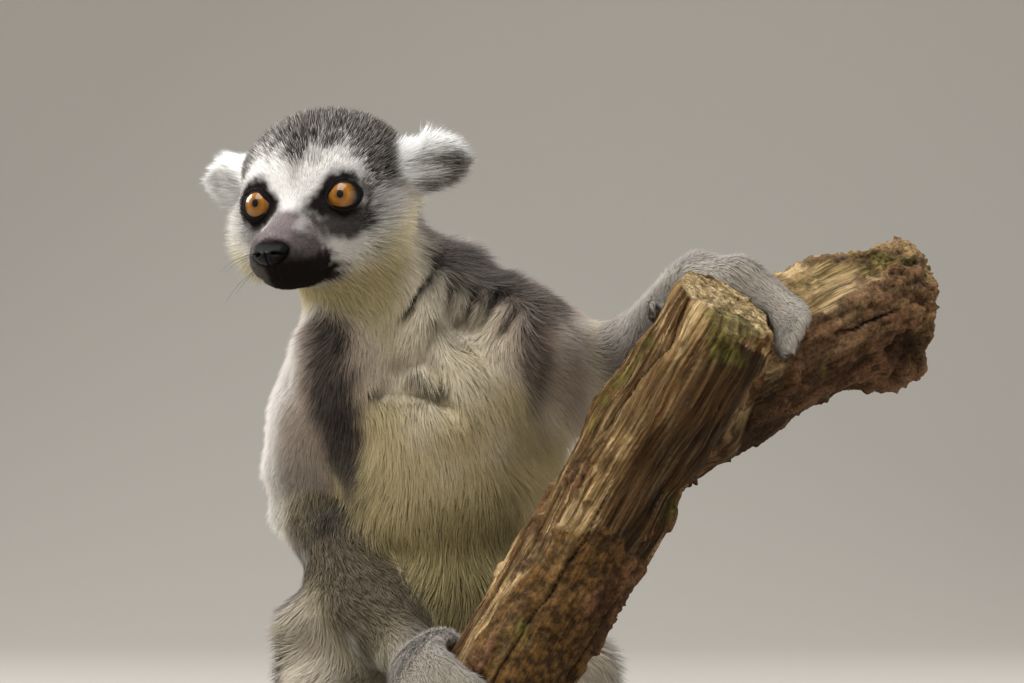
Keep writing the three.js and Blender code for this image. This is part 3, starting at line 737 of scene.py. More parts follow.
def limb_marks(marks, mm, normals, shares, along, front):
    """Brown-grey upper arms and grey forearms, the right forearm darkened as painted shade, with pale outer
    edges as a painted rim of light; grey legs and pale hands and feet.
    """
    ragged = ragged_edge(mm)
    for side, sign in SIGN.items():
        inner = smooth_step(-sign * normals[:, 0] + ragged, 0.25, 0.65)
        # The pale outer and lower outer edges of the arms are a painted rim of light.
        outer = smooth_step(sign * normals[:, 0] + ragged, 0.6, 0.92)
        edge = smooth_step(normals @ np.array([0.8 * sign, 0, -0.6]) + ragged, 0.55, 0.9)
        upper = blend(ARM_BROWN, GREY * 1.1, along[:, BONE_NAMES.index(f"upper_arm_{side}")])
        upper = blend(upper, FACE_WHITE, 0.8 * outer)
        upper = blend(upper, CHEST_WHITE, 0.7 * smooth_step(mm[:, 0], 46, 58))
        marks = blend(marks, upper, share_of(shares, f"upper_arm_{side}"))
        pale = np.maximum(0.3 * inner * (side == "left"), 0.9 * edge)
        marks = blend(marks, blend(FOREARM_GREYS_AND_SHADE[side], PALE_GREY, pale), share_of(shares, f"forearm_{side}"))
        leg = blend(GREY * 1.15, CHEST_WHITE * 0.8, np.maximum(inner, front * 0.7))
        marks = blend(marks, leg, share_of(shares, f"thigh_{side}", f"shin_{side}"))
    return blend(marks, mix(PALE_GREY, GREY, 0.45), share_of(shares, "hand", "foot") * 0.8)


def tail_marks(way, ragged):
    """Black and white rings, grey at the root and black at the tip."""
    ring = np.sin(way * TAIL_RINGS * 2 * math.pi + 0.9 * ragged)
    marks = blend(BLACK * 1.4, WHITE * 0.92, smooth_step(ring, -0.22, 0.12))
    marks = blend(marks, GREY, (1 - smooth_step(way, 0.02, 0.07)))
    return blend(marks, BLACK * 1.4, smooth_step(way, 0.955, 0.965))


def ragged_edge(mm):
    return waves(mm, 16, 5) * 0.08 + waves(mm, 6, 6) * 0.05


def markings(points, normals, shares, along):
    """The coat's colour at each point."""
    mm = points / MM
    ragged = ragged_edge(mm)
    level = np.where(normals[:, 2] > 0, -0.5, -0.25) * normals[:, 2]  # the shoulders' tops aren't pale
    front = smooth_step(-normals[:, 1] + ragged + level, -0.12, 0.30)
    marks = trunk_marks(mm, normals, shares, front)
    marks = limb_marks(marks, mm, normals, shares, along, front)
    body = 1 - share_of(shares, "head")
    # Some of these patches are painted shade between the right upper arm and the chest.
    for seed, (centre, radii, strength) in enumerate(DARK_PATCHES_AND_SHADE, 20):
        marks = blend(marks, CHARCOAL, blob(points, centre, radii, seed) * strength * body)
    # Black along each fold line is painted shade in its crease.
    for line, width, _, dark in FOLDS:
        off = line_distance(mm, line) + 0.25 * waves(mm, 5, 8)
        marks = blend(marks, BLACK, dark * np.exp(-((off / (1.2 * width)) ** 4)) * body)
    marks = blend(marks, head_marks(in_head(points)), smooth_step(share_of(shares, "head"), 0.25, 0.75))
    from_ear = bone_distances(points, ["ear_left", "ear_right"])[0].min(axis=1) / MM
    over_root = smooth_step(in_head(points)[:, 2] - EAR_ROOT_HEIGHT, -5, 2)
    over_root = over_root * (1 - smooth_step(from_ear, 9, 14))
    marks = blend(marks, WHITE, np.maximum(smooth_step(share_of(shares, "ear"), 0.3, 0.6), over_root))
    rings = tail_marks(tail_way(shares, along), ragged)
    return blend(marks, rings, smooth_step(share_of(shares, "tail"), 0.4, 0.7))


def press_folds(mesh):
    """Presses the folds of the neck and chest into the skin."""
    points, normals = mesh_points(mesh), mesh_normals(mesh)
    for line, width, depth, _ in FOLDS:
        off = line_distance(points / MM, line) / width
        relief = 0.25 * bell(off - 3.5, 1.5) - 1.3 * bell(off, 1.4)
        points += normals * (depth * MM * relief)[:, None]
    set_points(mesh, points)


UNDER_ARM, UNDER_ARM_RADII = (42, 8, 212), (10, 40, 15)  # a fringe hangs here beside the branch, in mm
UNDER_ARM_WAY = np.array([0.35, 0, -1])


def under_arm(points):
    return bell(egg_share(points / MM, UNDER_ARM, UNDER_ARM_RADII), 1)


def along_skin(flow, normals):
    return unit(flow - normals * np.sum(flow * normals, axis=1, keepdims=True))


def combed(mesh, points, normals, shares):
    """The way the hair lies: from the nose back over the head, down the trunk, and out along each limb."""
    flow = np.zeros_like(points)
    for i, name in enumerate(BONE_NAMES):
        start, end = BONES[name]
        way = unit(points - from_head(NOSE_TIP)) if name == "head" else unit(end - start)
        flow += shares[:, i : i + 1] * way
    off_head = 1 - share_of(shares, "head")
    swirl = np.stack([waves(points / MM, 34, 30 + i) for i in range(3)], axis=1)
    flow += 0.3 * swirl * off_head[:, None]
    flow += 2.0 * under_arm(points)[:, None] * UNDER_ARM_WAY
    for line, width, *_ in FOLDS:
        off, way = nearest_on_line(points / MM, line)
        beside = bell(off, 3.2 * width) * smooth_step(-way[:, 2], 0.5, 0.75)
        flow += 4.0 * way * (beside * off_head)[:, None]
    return along_skin(eased(along_skin(flow, normals), edges_of(mesh), 12, 0.5 * off_head), normals)


# The coat's pieces: their bones' names, tufts to a square mm, a tuft's width in mm, the size of a lock in mm,
# how far the hair draws together in it, and whether the tuft is bent.
PIECES = {
    "coat_head": (("head",), 5.2, 0.34, 2.5, 0.2, False),
    "coat_ears": (("ear",), 8.0, 0.36, 3.0, 0.2, False),
    "coat_neck": (("neck",), 6.5, 0.40, 4.5, 0.22, False),
    "coat_chest": (("chest",), 5.2, 0.42, 5.5, 0.22, False),
    "coat_belly": (("belly",), 1.95, 0.58, 6.0, 0.22, False),
    "coat_upper_arms": (("upper_arm",), 4.6, 0.40, 4.0, 0.22, False),
    "coat_forearms": (("forearm",), 4.4, 0.38, 4.0, 0.22, False),
    "coat_leg_left": (("thigh_left", "shin_left"), 1.9, 0.56, 6.0, 0.25, False),
    "coat_leg_right": (("thigh_right", "shin_right"), 1.9, 0.56, 6.0, 0.25, False),
    "coat_tail": (("tail",), 0.34, 1.15, 8.0, 0.3, True),
    "coat_hands": (("hand",), 3.6, 0.36, 3.0, 0.2, False),
    "coat_feet": (("foot",), 1.6, 0.5, 3.0, 0.25, False),
}


def unwrap_of(points, shares, along):
    """Each point's turn round its own bone, as a cosine and sine, and its place along its piece's bones."""
    best = shares.argmax(axis=1)
    result = np.zeros((len(points), 3))
    for names, *_ in PIECES.values():
        bones = [n for n in BONE_NAMES if n.startswith(names)]
        for place, name in enumerate(bones):
            here = best == BONE_NAMES.index(name)
            start, end = BONES[name]
            axis = unit(end - start)
            across = unit(np.cross(axis, [0.31, 0.89, 0.33]))
            offset = points[here] - start
            turn = np.arctan2(offset @ np.cross(axis, across), offset @ across)
            height = (place + 0.02 + 0.96 * along[here, BONE_NAMES.index(name)]) / len(bones)
            result[here] = np.stack([np.cos(turn), np.sin(turn), height], axis=1)
    return result


HOLLOW_SHARE = {"left": 1.0, "right": 0.2}  # how far each ear's hollow shows dark


def ear_hollow(head, normals, shares, side):
    """1 in the hollow of an ear, where the hair is thin and dark, on the side that faces forwards, and under
    its lower edge, where a shadow is painted.
    """
    root, tip = (in_head(end) for end in BONES[f"ear_{side}"])
    axis = tip - root
    t = (head - root) @ axis / (axis @ axis)
    above = head[:, 2] - root[2] - t * axis[2]
    facing = smooth_step(normals @ HEAD_AXES.T @ unit(np.array([SIGN[side] * 0.4, -0.85, -0.3])), 0.1, 0.5)
    inside = smooth_step(t + 0.04 * above, -0.1, 0.4) * (1 - smooth_step(above, 1.5, 5.5))
    # Under the ear's lower edge: a painted shadow.
    under = smooth_step(-above, 2.5, 5.5) * (1 - smooth_step(t, 0.8, 1.0))
    on_ear = smooth_step(share_of(shares, f"ear_{side}"), 0.35, 0.7)
    return on_ear * facing * np.maximum(inside, under) * HOLLOW_SHARE[side]


GRIP_REACH = 2.2 * MM  # how near the branch a palm is bare
SOLE_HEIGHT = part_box("stand_base")[1].z + 8 * MM


def covered(points, normals, head, shares):
    """How much of the coat grows at each point: none on lids, nose, palms and soles."""
    cover = np.ones(len(points))
    for side in SIDES:
        _, opening = eye_opening(head, side)
        cover *= smooth_step(opening, 1.1, 1.22)
    cover *= nose_share(head, 0.3) > 1
    wood = tree_of(*BRANCH_NODES)
    for i in np.nonzero(share_of(shares, "hand") > 0.3)[0]:
        spot = Vector(points[i])
        hit, _, _, far = wood.find_nearest(spot, GRIP_REACH)
        if hit is not None and (far < 0.4 * MM or (hit - spot).normalized().dot(Vector(normals[i])) > 0.8):
            cover[i] = 0
    soles = share_of(shares, "foot") * (normals[:, 2] < -0.25) * (points[:, 2] < SOLE_HEIGHT)
    behind = smooth_step(normals[:, 1], 0.15, 0.6) * share_of(shares, "chest", "upper", "neck", "forearm")
    return cover * (1 - 0.45 * behind) * (soles < 0.4)


SEEN_SHARE = 0.6  # how far along a hair the part that shows lies
FOLD_SHORTENING = 0.68  # how much shorter the hair is in a fold


def hair_of(points, head, shares):
    """Length in metres and rise in radians of the coat, with its fringes and short hair in the folds."""
    length, rise = coat_of(points, shares)
    extra = fringe(head, shares)
    hanging = under_arm(points)
    length = length + extra * MM + 12 * MM * hanging
    rise = rise + 0.06 * extra + 0.35 * hanging
    mm = points / MM
    folded = np.max([bell(line_distance(mm, line), 2.2 * width) for line, width, *_ in FOLDS], axis=0)
    return length * (1 - FOLD_SHORTENING * folded * (1 - share_of(shares, "head"))), rise


def grizzle_of(marks, head, shares, hollow):
    """How much one tuft differs from the next: most where dark hair has pale bands, little on the face."""
    tone = marks.mean(axis=1)
    dark = smooth_step(-tone, -0.42, -0.16) * smooth_step(tone, 0.02, 0.05)
    crown = np.maximum(smooth_step(head[:, 2], 8, 15), smooth_step(head[:, 1], -6, 4))
    on_head = share_of(shares, "head")
    face = on_head * (1 - crown) * 0.8
    grizzle = (0.25 + 0.85 * dark) * (1 - 0.65 * face) + on_head * crown * (0.4 + 1.3 * dark)
    return mix(grizzle, 0.1 + 1.5 * hollow, share_of(shares, "ear"))


def patches_of(mesh, shares):
    """The number of the coat's piece that each face of the skin belongs to."""
    owner = np.zeros(len(BONE_NAMES), int)
    for number, (names, *_) in enumerate(PIECES.values()):
        owner[[i for i, name in enumerate(BONE_NAMES) if name.startswith(names)]] = number
    first = read(mesh.polygons, "loop_start", 1, np.int32)
    corner = read(mesh.loops, "vertex_index", 1, np.int32)
    return owner[shares.argmax(axis=1)][corner[first]]


def dress_skin(mesh):
    """Stores the markings, the lie of the coat and the pieces it is made in."""
    points, normals = mesh_points(mesh), mesh_normals(mesh)
    head = in_head(points)
    shares, along = bone_shares(points)
    length, rise = hair_of(points, head, shares)
    comb = combed(mesh, points, normals, shares)
    seen = points + comb * (SEEN_SHARE * length * np.cos(rise))[:, None]
    cover = covered(points, normals, head, shares)
    # The hollows take in the painted shadow under each ear.
    hollow = sum(ear_hollow(head, normals, shares, side) for side in SIDES)
    palms = (1 - cover) * (1 - 0.3 * share_of(shares, "hand"))
    bare = np.max([palms, 0.5 * share_of(shares, "hand", "foot"), 0.9 * hollow], axis=0)
    marks = blend(markings(seen, normals, *bone_shares(seen)), EAR_BROWN, 0.85 * hollow)
    store(mesh, "coat_colour", "FLOAT_COLOR", as_colour(marks))
    store(mesh, "skin_colour", "FLOAT_COLOR", as_colour(blend(marks * 0.8, BARE_SKIN, bare)))
    store(mesh, "comb", "FLOAT_VECTOR", comb)
    store(mesh, "hair_length", "FLOAT", length)
    store(mesh, "hair_rise", "FLOAT", rise)
    store(mesh, "cover", "FLOAT", cover * (1 - 0.35 * hollow))
    store(mesh, "unwrap", "FLOAT_VECTOR", unwrap_of(points, shares, along))
    store(mesh, "grizzle", "FLOAT", grizzle_of(marks, head, shares, hollow))
    store(mesh, "patch", "INT", patches_of(mesh, shares), "FACE")


# ---- Materials ----
def surface(name, roughness, **values):
    """A material with its main shader; the values are the shader's own inputs."""
    material = bpy.data.materials.new(name)
    material.use_nodes = True
    shader = material.node_tree.nodes["Principled BSDF"]
    shader.inputs["Roughness"].default_value = roughness
    for key, value in values.items():
        shader.inputs[key.replace("_", " ")].default_value = value
    return material, material.node_tree, shader


MATH, VECTOR_MATH = "ShaderNodeMath", "ShaderNodeVectorMath"


def fur_material():
    """Locks of fine dry hair: each a little lighter or darker than the next, darker at the root, partly grey
    underfur and partly painted shade deep in the coat.
    """
    material, tree, shader = surface("Lemur fur", 0.9, Specular_IOR_Level=0.08)
    add = functools.partial(add_node, tree)
    grizzle, chance, tip = (
        add("ShaderNodeAttribute", output="Fac", attribute_name=name) for name in ("grizzle", "chance", "tip")
    )
    markings = add("ShaderNodeAttribute", output="Color", attribute_name="coat_colour")
    either_way = add(MATH, {0: chance, 1: 2.0, 2: -1.0}, operation="MULTIPLY_ADD")
    doublings = add(MATH, {0: grizzle, 1: either_way}, operation="MULTIPLY")
    lock = add(MATH, {0: 2.0, 1: doublings}, operation="POWER")
    # Darker roots and lighter tips: partly grey underfur and partly painted shade deep in the coat.
    rise = add(MATH, {0: grizzle, 1: 0.35, 2: 0.35}, operation="MULTIPLY_ADD")
    from_tip = add(MATH, {0: tip, 1: 0.75}, operation="SUBTRACT")
    tipped = add(MATH, {0: from_tip, 1: rise, 2: 1.0}, operation="MULTIPLY_ADD")
    factor = add(MATH, {0: lock, 1: tipped}, operation="MULTIPLY")
    shade = add(VECTOR_MATH, {0: markings, "Scale": factor}, operation="SCALE")
    tree.links.new(shade, shader.inputs["Base Color"])
    return material


def skin_material():
    """The hide under the coat: the markings in short dense underfur, and dark pads where it is bare."""
    material, tree, shader = surface("Lemur skin", 0.8, Specular_IOR_Level=0.15)
    add = functools.partial(add_node, tree)
    place = add("ShaderNodeTexCoord", output="Object")
    fine = add("ShaderNodeTexNoise", {"Vector": place, "Scale": 1 / (0.7 * MM), "Detail": 3.0}, "Fac")
    factor = add(MATH, {0: fine, 1: 0.5, 2: 0.75}, operation="MULTIPLY_ADD")
    markings = add("ShaderNodeAttribute", output="Color", attribute_name="skin_colour")
    shade = add(VECTOR_MATH, {0: markings, "Scale": factor}, operation="SCALE")
    tree.links.new(shade, shader.inputs["Base Color"])
    tree.links.new(add("ShaderNodeBump", {"Height": fine, "Distance": 0.35 * MM}), shader.inputs["Normal"])
    return material


# ---- Coat ----
TUFT_BEND = 0.16  # how far a bent tuft's tip leans back to the skin, as a share of its length
BAKE_PATCH = 0.003  # the size of one tuft's own place on the OFBake map
BAKE_TURN = 2.04 * math.pi  # a little over a turn, so that the tufts at the seam stay on the map


def tuft_shape(name, bent):
    """A closed three-sided lock, one unit long and one wide, along +Z, that leans to +X at its tip."""
    levels = [(0.0, 0.5), (0.45, 0.42)] if bent else [(0.0, 0.5)]
    points, tips, flat = [], [], []
    for height, radius in levels:
        for turn in (90, 210, 330):
            a = math.radians(turn)
            points.append((radius * math.cos(a) + TUFT_BEND * height**2 * bent, radius * math.sin(a), height))
            tips.append(height)
            flat.append((0.5 + radius * math.sin(a), height, 0))
    points.append((TUFT_BEND * bent, 0, 1))
    tips.append(1)
    flat.append((0.5, 1, 0))
    last = len(points) - 1
    faces = [(2, 1, 0)]
    for level in range(len(levels) - 1):
        low, high = 3 * level, 3 * level + 3
        for i in range(3):
            j = (i + 1) % 3
            faces += [(low + i, low + j, high + j), (low + i, high + j, high + i)]
    top = last - 3
    faces += [(top + i, top + (i + 1) % 3, last) for i in range(3)]
    mesh = mesh_from(name, points, faces)
    store(mesh, "tip", "FLOAT", tips)
    store(mesh, "lock_place", "FLOAT_VECTOR", flat)
    return bpy.data.objects.new(name, mesh)


COAT_INPUTS = (
    ("Patch", "NodeSocketInt"), ("Density", "NodeSocketFloat"), ("Spacing", "NodeSocketFloat"),
    ("Width", "NodeSocketFloat"), ("Lock Size", "NodeSocketFloat"), ("Drawn Together", "NodeSocketFloat"),
    ("Seed", "NodeSocketInt"), ("Tuft", "NodeSocketObject"), ("Material", "NodeSocketMaterial"),
)


SKIN_LAYERS = {
    "patch": "INT", "cover": "FLOAT", "hair_length": "FLOAT", "hair_rise": "FLOAT", "comb": "FLOAT_VECTOR",
    "unwrap": "FLOAT_VECTOR", "outwards": "FLOAT_VECTOR", "lock_place": "FLOAT_VECTOR",
}
# What varies from tuft to tuft: its own step of the seed, its least and its most.
CHANCES = {"chance": (1, 0.0, 1.0), "length": (3, 0.72, 1.15), "width": (4, 0.7, 1.25)}
ASTRAY_STEP = 2


def coat_tree():
    """Geometry nodes that stand tufts on one patch of the skin, comb them and draw them into locks."""
    tree = bpy.data.node_groups.new("Coat", "GeometryNodeTree")
    tree.interface.new_socket("Skin", in_out="INPUT", socket_type="NodeSocketGeometry")
    for name, kind in COAT_INPUTS:
        tree.interface.new_socket(name, in_out="INPUT", socket_type=kind)
    tree.interface.new_socket("Coat", in_out="OUTPUT", socket_type="NodeSocketGeometry")
    given = tree.nodes.new("NodeGroupInput").outputs
    add = functools.partial(add_node, tree)
    skin = {
        name: add("GeometryNodeInputNamedAttribute", {"Name": name}, "Attribute", data_type=kind)
        for name, kind in SKIN_LAYERS.items()
    }
    varied = {}
    for name, (step, least, most) in CHANCES.items():
        seed = add(MATH, {0: given["Seed"], 1: step}, operation="ADD")
        varied[name] = add("FunctionNodeRandomValue", {2: least, 3: most, "Seed": seed}, 1, data_type="FLOAT")
    seed = add(MATH, {0: given["Seed"], 1: ASTRAY_STEP}, operation="ADD")
    corners = {0: (-1, -1, -1), 1: (1, 1, 1), "Seed": seed}
    astray = add("FunctionNodeRandomValue", corners, data_type="FLOAT_VECTOR")

    # The roots.
    compared = {2: skin["patch"], 3: given["Patch"]}
    here = add("FunctionNodeCompare", compared, data_type="INT", operation="EQUAL")
    patch = add("GeometryNodeSeparateGeometry", {0: given["Skin"], 1: here}, domain="FACE")
    spread = {
        "Mesh": patch, "Distance Min": given["Spacing"], "Density Max": given["Density"],
        "Density Factor": skin["cover"], "Seed": given["Seed"],
    }
    points = add("GeometryNodeDistributePointsOnFaces", spread, "Points", distribute_method="POISSON")
    normal = points.node.outputs["Normal"]
    for name, kind, field in (("chance", "FLOAT", varied["chance"]), ("outwards", "FLOAT_VECTOR", normal)):
        stored = {"Geometry": points, "Name": name, "Value": field}
        points = add("GeometryNodeStoreNamedAttribute", stored, data_type=kind, domain="POINT")

    # The way each tuft lies, and its length.
    flat = add(MATH, {0: skin["hair_rise"]}, operation="COSINE")
    steep = add(MATH, {0: skin["hair_rise"]}, operation="SINE")
    flat = add(VECTOR_MATH, {0: skin["comb"], "Scale": flat}, operation="SCALE")
    steep = add(VECTOR_MATH, {0: skin["outwards"], "Scale": steep}, operation="SCALE")
    astray = add(VECTOR_MATH, {0: astray, "Scale": 0.14}, operation="SCALE")
    laid = add(VECTOR_MATH, {0: flat, 1: steep}, operation="ADD")
    laid = add(VECTOR_MATH, {0: laid, 1: astray}, operation="ADD")
    laid = add(VECTOR_MATH, {0: laid}, operation="NORMALIZE")
    length = add(MATH, {0: skin["hair_length"], 1: varied["length"]}, operation="MULTIPLY")
    tip = add(VECTOR_MATH, {0: laid, "Scale": length}, operation="SCALE")

    # Its tip drawn to the middle of a lock.
    tip_place = add(VECTOR_MATH, {0: add("GeometryNodeInputPosition"), 1: tip}, operation="ADD")
    locks = add(MATH, {0: 1.0, 1: given["Lock Size"]}, operation="DIVIDE")
    lock = add("ShaderNodeTexVoronoi", {"Vector": tip_place, "Scale": locks}, "Position", feature="F1")
    pull = add(VECTOR_MATH, {0: lock, 1: tip_place}, operation="SUBTRACT")
    pull = add(VECTOR_MATH, {0: pull, "Scale": given["Drawn Together"]}, operation="SCALE")
    lift = add(VECTOR_MATH, {0: pull, 1: skin["outwards"]}, "Value", operation="DOT_PRODUCT")
    lift = add(MATH, {0: lift, 1: 0.8}, operation="MULTIPLY")
    lift = add(VECTOR_MATH, {0: skin["outwards"], "Scale": lift}, operation="SCALE")
    pull = add(VECTOR_MATH, {0: pull, 1: lift}, operation="SUBTRACT")
    tip = add(VECTOR_MATH, {0: tip, 1: pull}, operation="ADD")

    # The tuft itself, turned, sized and made real.
    inwards = add(VECTOR_MATH, {0: skin["outwards"], "Scale": -1.0}, operation="SCALE")
    turn = add("FunctionNodeAxesToRotation", {0: tip, 1: inwards}, primary_axis="Z", secondary_axis="X")
    width = add(MATH, {0: given["Width"], 1: varied["width"]}, operation="MULTIPLY")
    thin = add(MATH, {0: width, 1: 0.55}, operation="MULTIPLY")
    long = add(VECTOR_MATH, {0: tip}, "Value", operation="LENGTH")
    size = add("ShaderNodeCombineXYZ", {0: thin, 1: width, 2: long})
    tuft = add("GeometryNodeObjectInfo", {0: given["Tuft"]}, "Geometry")
    placed = {"Points": points, "Instance": tuft, "Rotation": turn, "Scale": size}
    coat = add("GeometryNodeRealizeInstances", {0: add("GeometryNodeInstanceOnPoints", placed)})

    # Normals mostly those of the skin, which light the coat as one, and the OFBake map.
    whole = add(VECTOR_MATH, {0: skin["outwards"], "Scale": 0.7}, operation="SCALE")
    own = add(VECTOR_MATH, {0: add("GeometryNodeInputNormal"), "Scale": 0.3}, operation="SCALE")
    soft = add(VECTOR_MATH, {0: whole, 1: own}, operation="ADD")
    soft = add(VECTOR_MATH, {0: soft}, operation="NORMALIZE")
    shaded = {"Mesh": coat, "Custom Normal": soft}
    coat = add("GeometryNodeSetMeshNormal", shaded, mode="FREE", domain="POINT")
    part = add("ShaderNodeSeparateXYZ", {0: skin["unwrap"]}).node.outputs
    angle = add(MATH, {0: part[1], 1: part[0]}, operation="ARCTAN2")
    around = add(MATH, {0: angle, 1: BAKE_TURN}, operation="DIVIDE")
    around = add(MATH, {0: around, 1: 0.5}, operation="ADD")
    centre = add("ShaderNodeCombineXYZ", {0: around, 1: part[2]})
    spot = add(VECTOR_MATH, {0: skin["lock_place"], "Scale": BAKE_PATCH}, operation="SCALE")
    spot = add(VECTOR_MATH, {0: centre, 1: spot}, operation="ADD")
    stored = {"Geometry": coat, "Name": "OFBake", "Value": spot}
    coat = add("GeometryNodeStoreNamedAttribute", stored, data_type="FLOAT2", domain="CORNER")
    coat = add("GeometryNodeSetMaterial", {"Geometry": coat, "Material": given["Material"]})
    tree.links.new(coat, tree.nodes.new("NodeGroupOutput").inputs[0])
    return tree


PIECE_LIMIT = 199000  # triangles
KEPT = (
    "position", "coat_colour", "grizzle", "chance", "tip", "OFBake", "custom_normal", "material_index",
    "sharp_face",
)


def coat_piece(name, skin_mesh, tree, values):
    """One piece of the coat as a finished mesh."""
    worn = bpy.data.objects.new("work", skin_mesh)
    bpy.context.scene.collection.objects.link(worn)
    modifier = worn.modifiers.new("Coat", "NODES")
    modifier.node_group = tree
    for item in tree.interface.items_tree:
        if item.name in values:
            modifier[item.identifier] = values[item.name]
    mesh = bpy.data.meshes.new_from_object(worn.evaluated_get(bpy.context.evaluated_depsgraph_get()))
    bpy.data.objects.remove(worn)
    for layer in [a.name for a in mesh.attributes if a.name not in KEPT and not a.name.startswith(".")]:
        mesh.attributes.remove(mesh.attributes[layer])
    if len(mesh.polygons) > PIECE_LIMIT or not len(mesh.polygons):
        raise RuntimeError(f"{name} has {len(mesh.polygons)} triangles")
    points = mesh_points(mesh)
    points[:, 2] = np.maximum(points[:, 2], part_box("stand_base")[1].z + 0.1 * MM)
    set_points(mesh, points)
    mesh.name = name
    return mesh


def build_coat(skin_mesh, settings):
    tree, material = coat_tree(), fur_material()
    tufts = {bent: tuft_shape("bent_tuft" if bent else "straight_tuft", bent) for bent in (True, False)}
    density, width = settings.density, settings.width
    for number, (name, (_, per_mm2, wide, lock, drawn, bent)) in enumerate(PIECES.items()):
        per_m2 = per_mm2 * density / MM**2
        values = {
            "Patch": number,
            "Density": 3 * per_m2,
            "Spacing": math.sqrt(0.62 / per_m2),
            "Width": wide * width * MM,
            "Lock Size": lock * MM,
            "Drawn Together": drawn,
            "Seed": settings.seed + 10 * number,
            "Tuft": tufts[bent],
            "Material": material,
        }
        show(name, coat_piece(name, skin_mesh, tree, values), material)
    for tuft in tufts.values():
        bpy.data.objects.remove(tuft)
    bpy.data.node_groups.remove(tree)


# ---- Eyes, lids, nose and whiskers ----
def ring_grid(rings):
    """A closed surface from rings of points, the first and last of which are single points."""
    points, faces, starts = [], [], []
    for ring in rings:
        starts.append(len(points))
        points += list(ring)
    count = len(rings[1])
    for n in range(1, len(rings) - 2):
        a, b = starts[n], starts[n + 1]
        faces += [(a + i, a + (i + 1) % count, b + (i + 1) % count, b + i) for i in range(count)]
    first, last, a, b = starts[0], starts[-1], starts[1], starts[-2]
    faces += [(first, a + (i + 1) % count, a + i) for i in range(count)]
    faces += [(last, b + i, b + (i + 1) % count) for i in range(count)]
    return points, faces


def circle(count, single=False):
    """Points round a circle of radius 1, or its first point alone."""
    turns = [0.0] if single else [2 * math.pi * i / count for i in range(count)]
    return np.array([(math.cos(t), math.sin(t)) for t in turns])


def outward_mesh(name, points, faces):
    """A mesh with its faces turned outwards."""
    mesh = mesh_from(name, points, faces)
    work = bmesh.new()
    work.from_mesh(mesh)
    bmesh.ops.recalc_face_normals(work, faces=work.faces)
    work.to_mesh(mesh)
    work.free()
    return mesh


# Where each pupil points, in the head's frame.
GAZE = {"left": (0.134, -0.976, 0.174), "right": (-0.045, -0.98, 0.18)}
PUPIL_RADIUS = 1.4  # mm
# The iris from its middle to its rim, with each shade as a share of its colour.
IRIS_SHADES = ((0.0, 0.22), (0.2, 0.5), (0.42, 0.9), (0.6, 0.5), (0.7, 0.16), (0.78, 0.015))


EYE_RINGS, EYE_TURNS = 72, 96
CORNEA_HEIGHT, CORNEA_EDGE = 0.55, 0.78  # in mm over the ball, and in radians from the gaze


def eyeball(side):
    """The ball of the eye with the bulge of its cornea, looking along its gaze."""
    centre = in_head(BALLS[side])
    way = unit(np.array(GAZE[side]))
    across = unit(np.cross(way, [0, 0, 1.0]))
    up = np.cross(across, way)
    rings, marks = [], []
    for n in range(EYE_RINGS + 1):
        angle = math.pi * (n / EYE_RINGS) ** 1.25
        reach = EYE_RADIUS + CORNEA_HEIGHT * max(0.0, 1 - (angle / CORNEA_EDGE) ** 2) ** 2
        out, ahead = reach * math.sin(angle), reach * math.cos(angle)
        flat = out * circle(EYE_TURNS, n in (0, EYE_RINGS))
        rings.append(from_head(centre + flat[:, :1] * across + flat[:, 1:] * up + ahead * way))
        marks += [(a, b, ahead) for a, b in flat]
    mesh = outward_mesh(f"eyeball_{side}", *ring_grid(rings))
    store(mesh, "iris", "FLOAT_VECTOR", marks)
    return mesh


def eye_material(iris):
    """A wet amber iris: fine spokes from the pupil, a dark rim, and a clear shining cornea over it."""
    wet = {"Coat_Weight": 1.0, "Coat_Roughness": 0.03, "Coat_IOR": 1.38}
    material, tree, shader = surface("Lemur eye", 0.4, Specular_IOR_Level=0.1, **wet)
    add = functools.partial(add_node, tree)
    place = add("ShaderNodeAttribute", output="Vector", attribute_name="iris")
    parts = add("ShaderNodeSeparateXYZ", {0: place}).node.outputs
    flat = add("ShaderNodeCombineXYZ", {0: parts[0], 1: parts[1]})
    tall = add(VECTOR_MATH, {0: flat, 1: (1.12, 0.93, 1.0)}, operation="MULTIPLY")
    out = add(VECTOR_MATH, {0: tall}, "Value", operation="LENGTH")
    spoke = add(VECTOR_MATH, {0: flat}, operation="NORMALIZE")
    ring = add("ShaderNodeCombineXYZ", {2: add(MATH, {0: out, 1: 0.12}, operation="MULTIPLY")})
    where = add(VECTOR_MATH, {0: spoke, 1: ring}, operation="ADD")
    spokes = add("ShaderNodeTexNoise", {"Vector": where, "Scale": 11.0, "Detail": 4.0}, "Fac")
    uneven = add(MATH, {0: spokes, 1: 0.5}, operation="SUBTRACT")
    wavy = add(MATH, {0: uneven, 1: 1.6, 2: out}, operation="MULTIPLY_ADD")
    shades = add("ShaderNodeValToRGB", {0: add(MATH, {0: wavy, 1: 8.0}, operation="DIVIDE")})
    stops = shades.node.color_ramp.elements
    for i, (where_stop, shade) in enumerate(IRIS_SHADES):
        stop = stops[i] if i < 2 else stops.new(where_stop)
        stop.position, stop.color = where_stop, (*(np.array(iris[:3]) * shade), 1)
    edges = {0: out, 1: PUPIL_RADIUS - 0.08, 2: PUPIL_RADIUS + 0.12}
    pupil = add("ShaderNodeMapRange", edges)
    light = add(MATH, {0: spokes, 1: 0.9, 2: 0.6}, operation="MULTIPLY_ADD")
    lit = add(VECTOR_MATH, {0: shades, "Scale": light}, operation="SCALE")
    lit = add(VECTOR_MATH, {0: lit, "Scale": pupil}, operation="SCALE")
    tree.links.new(lit, shader.inputs["Base Color"])
    return material


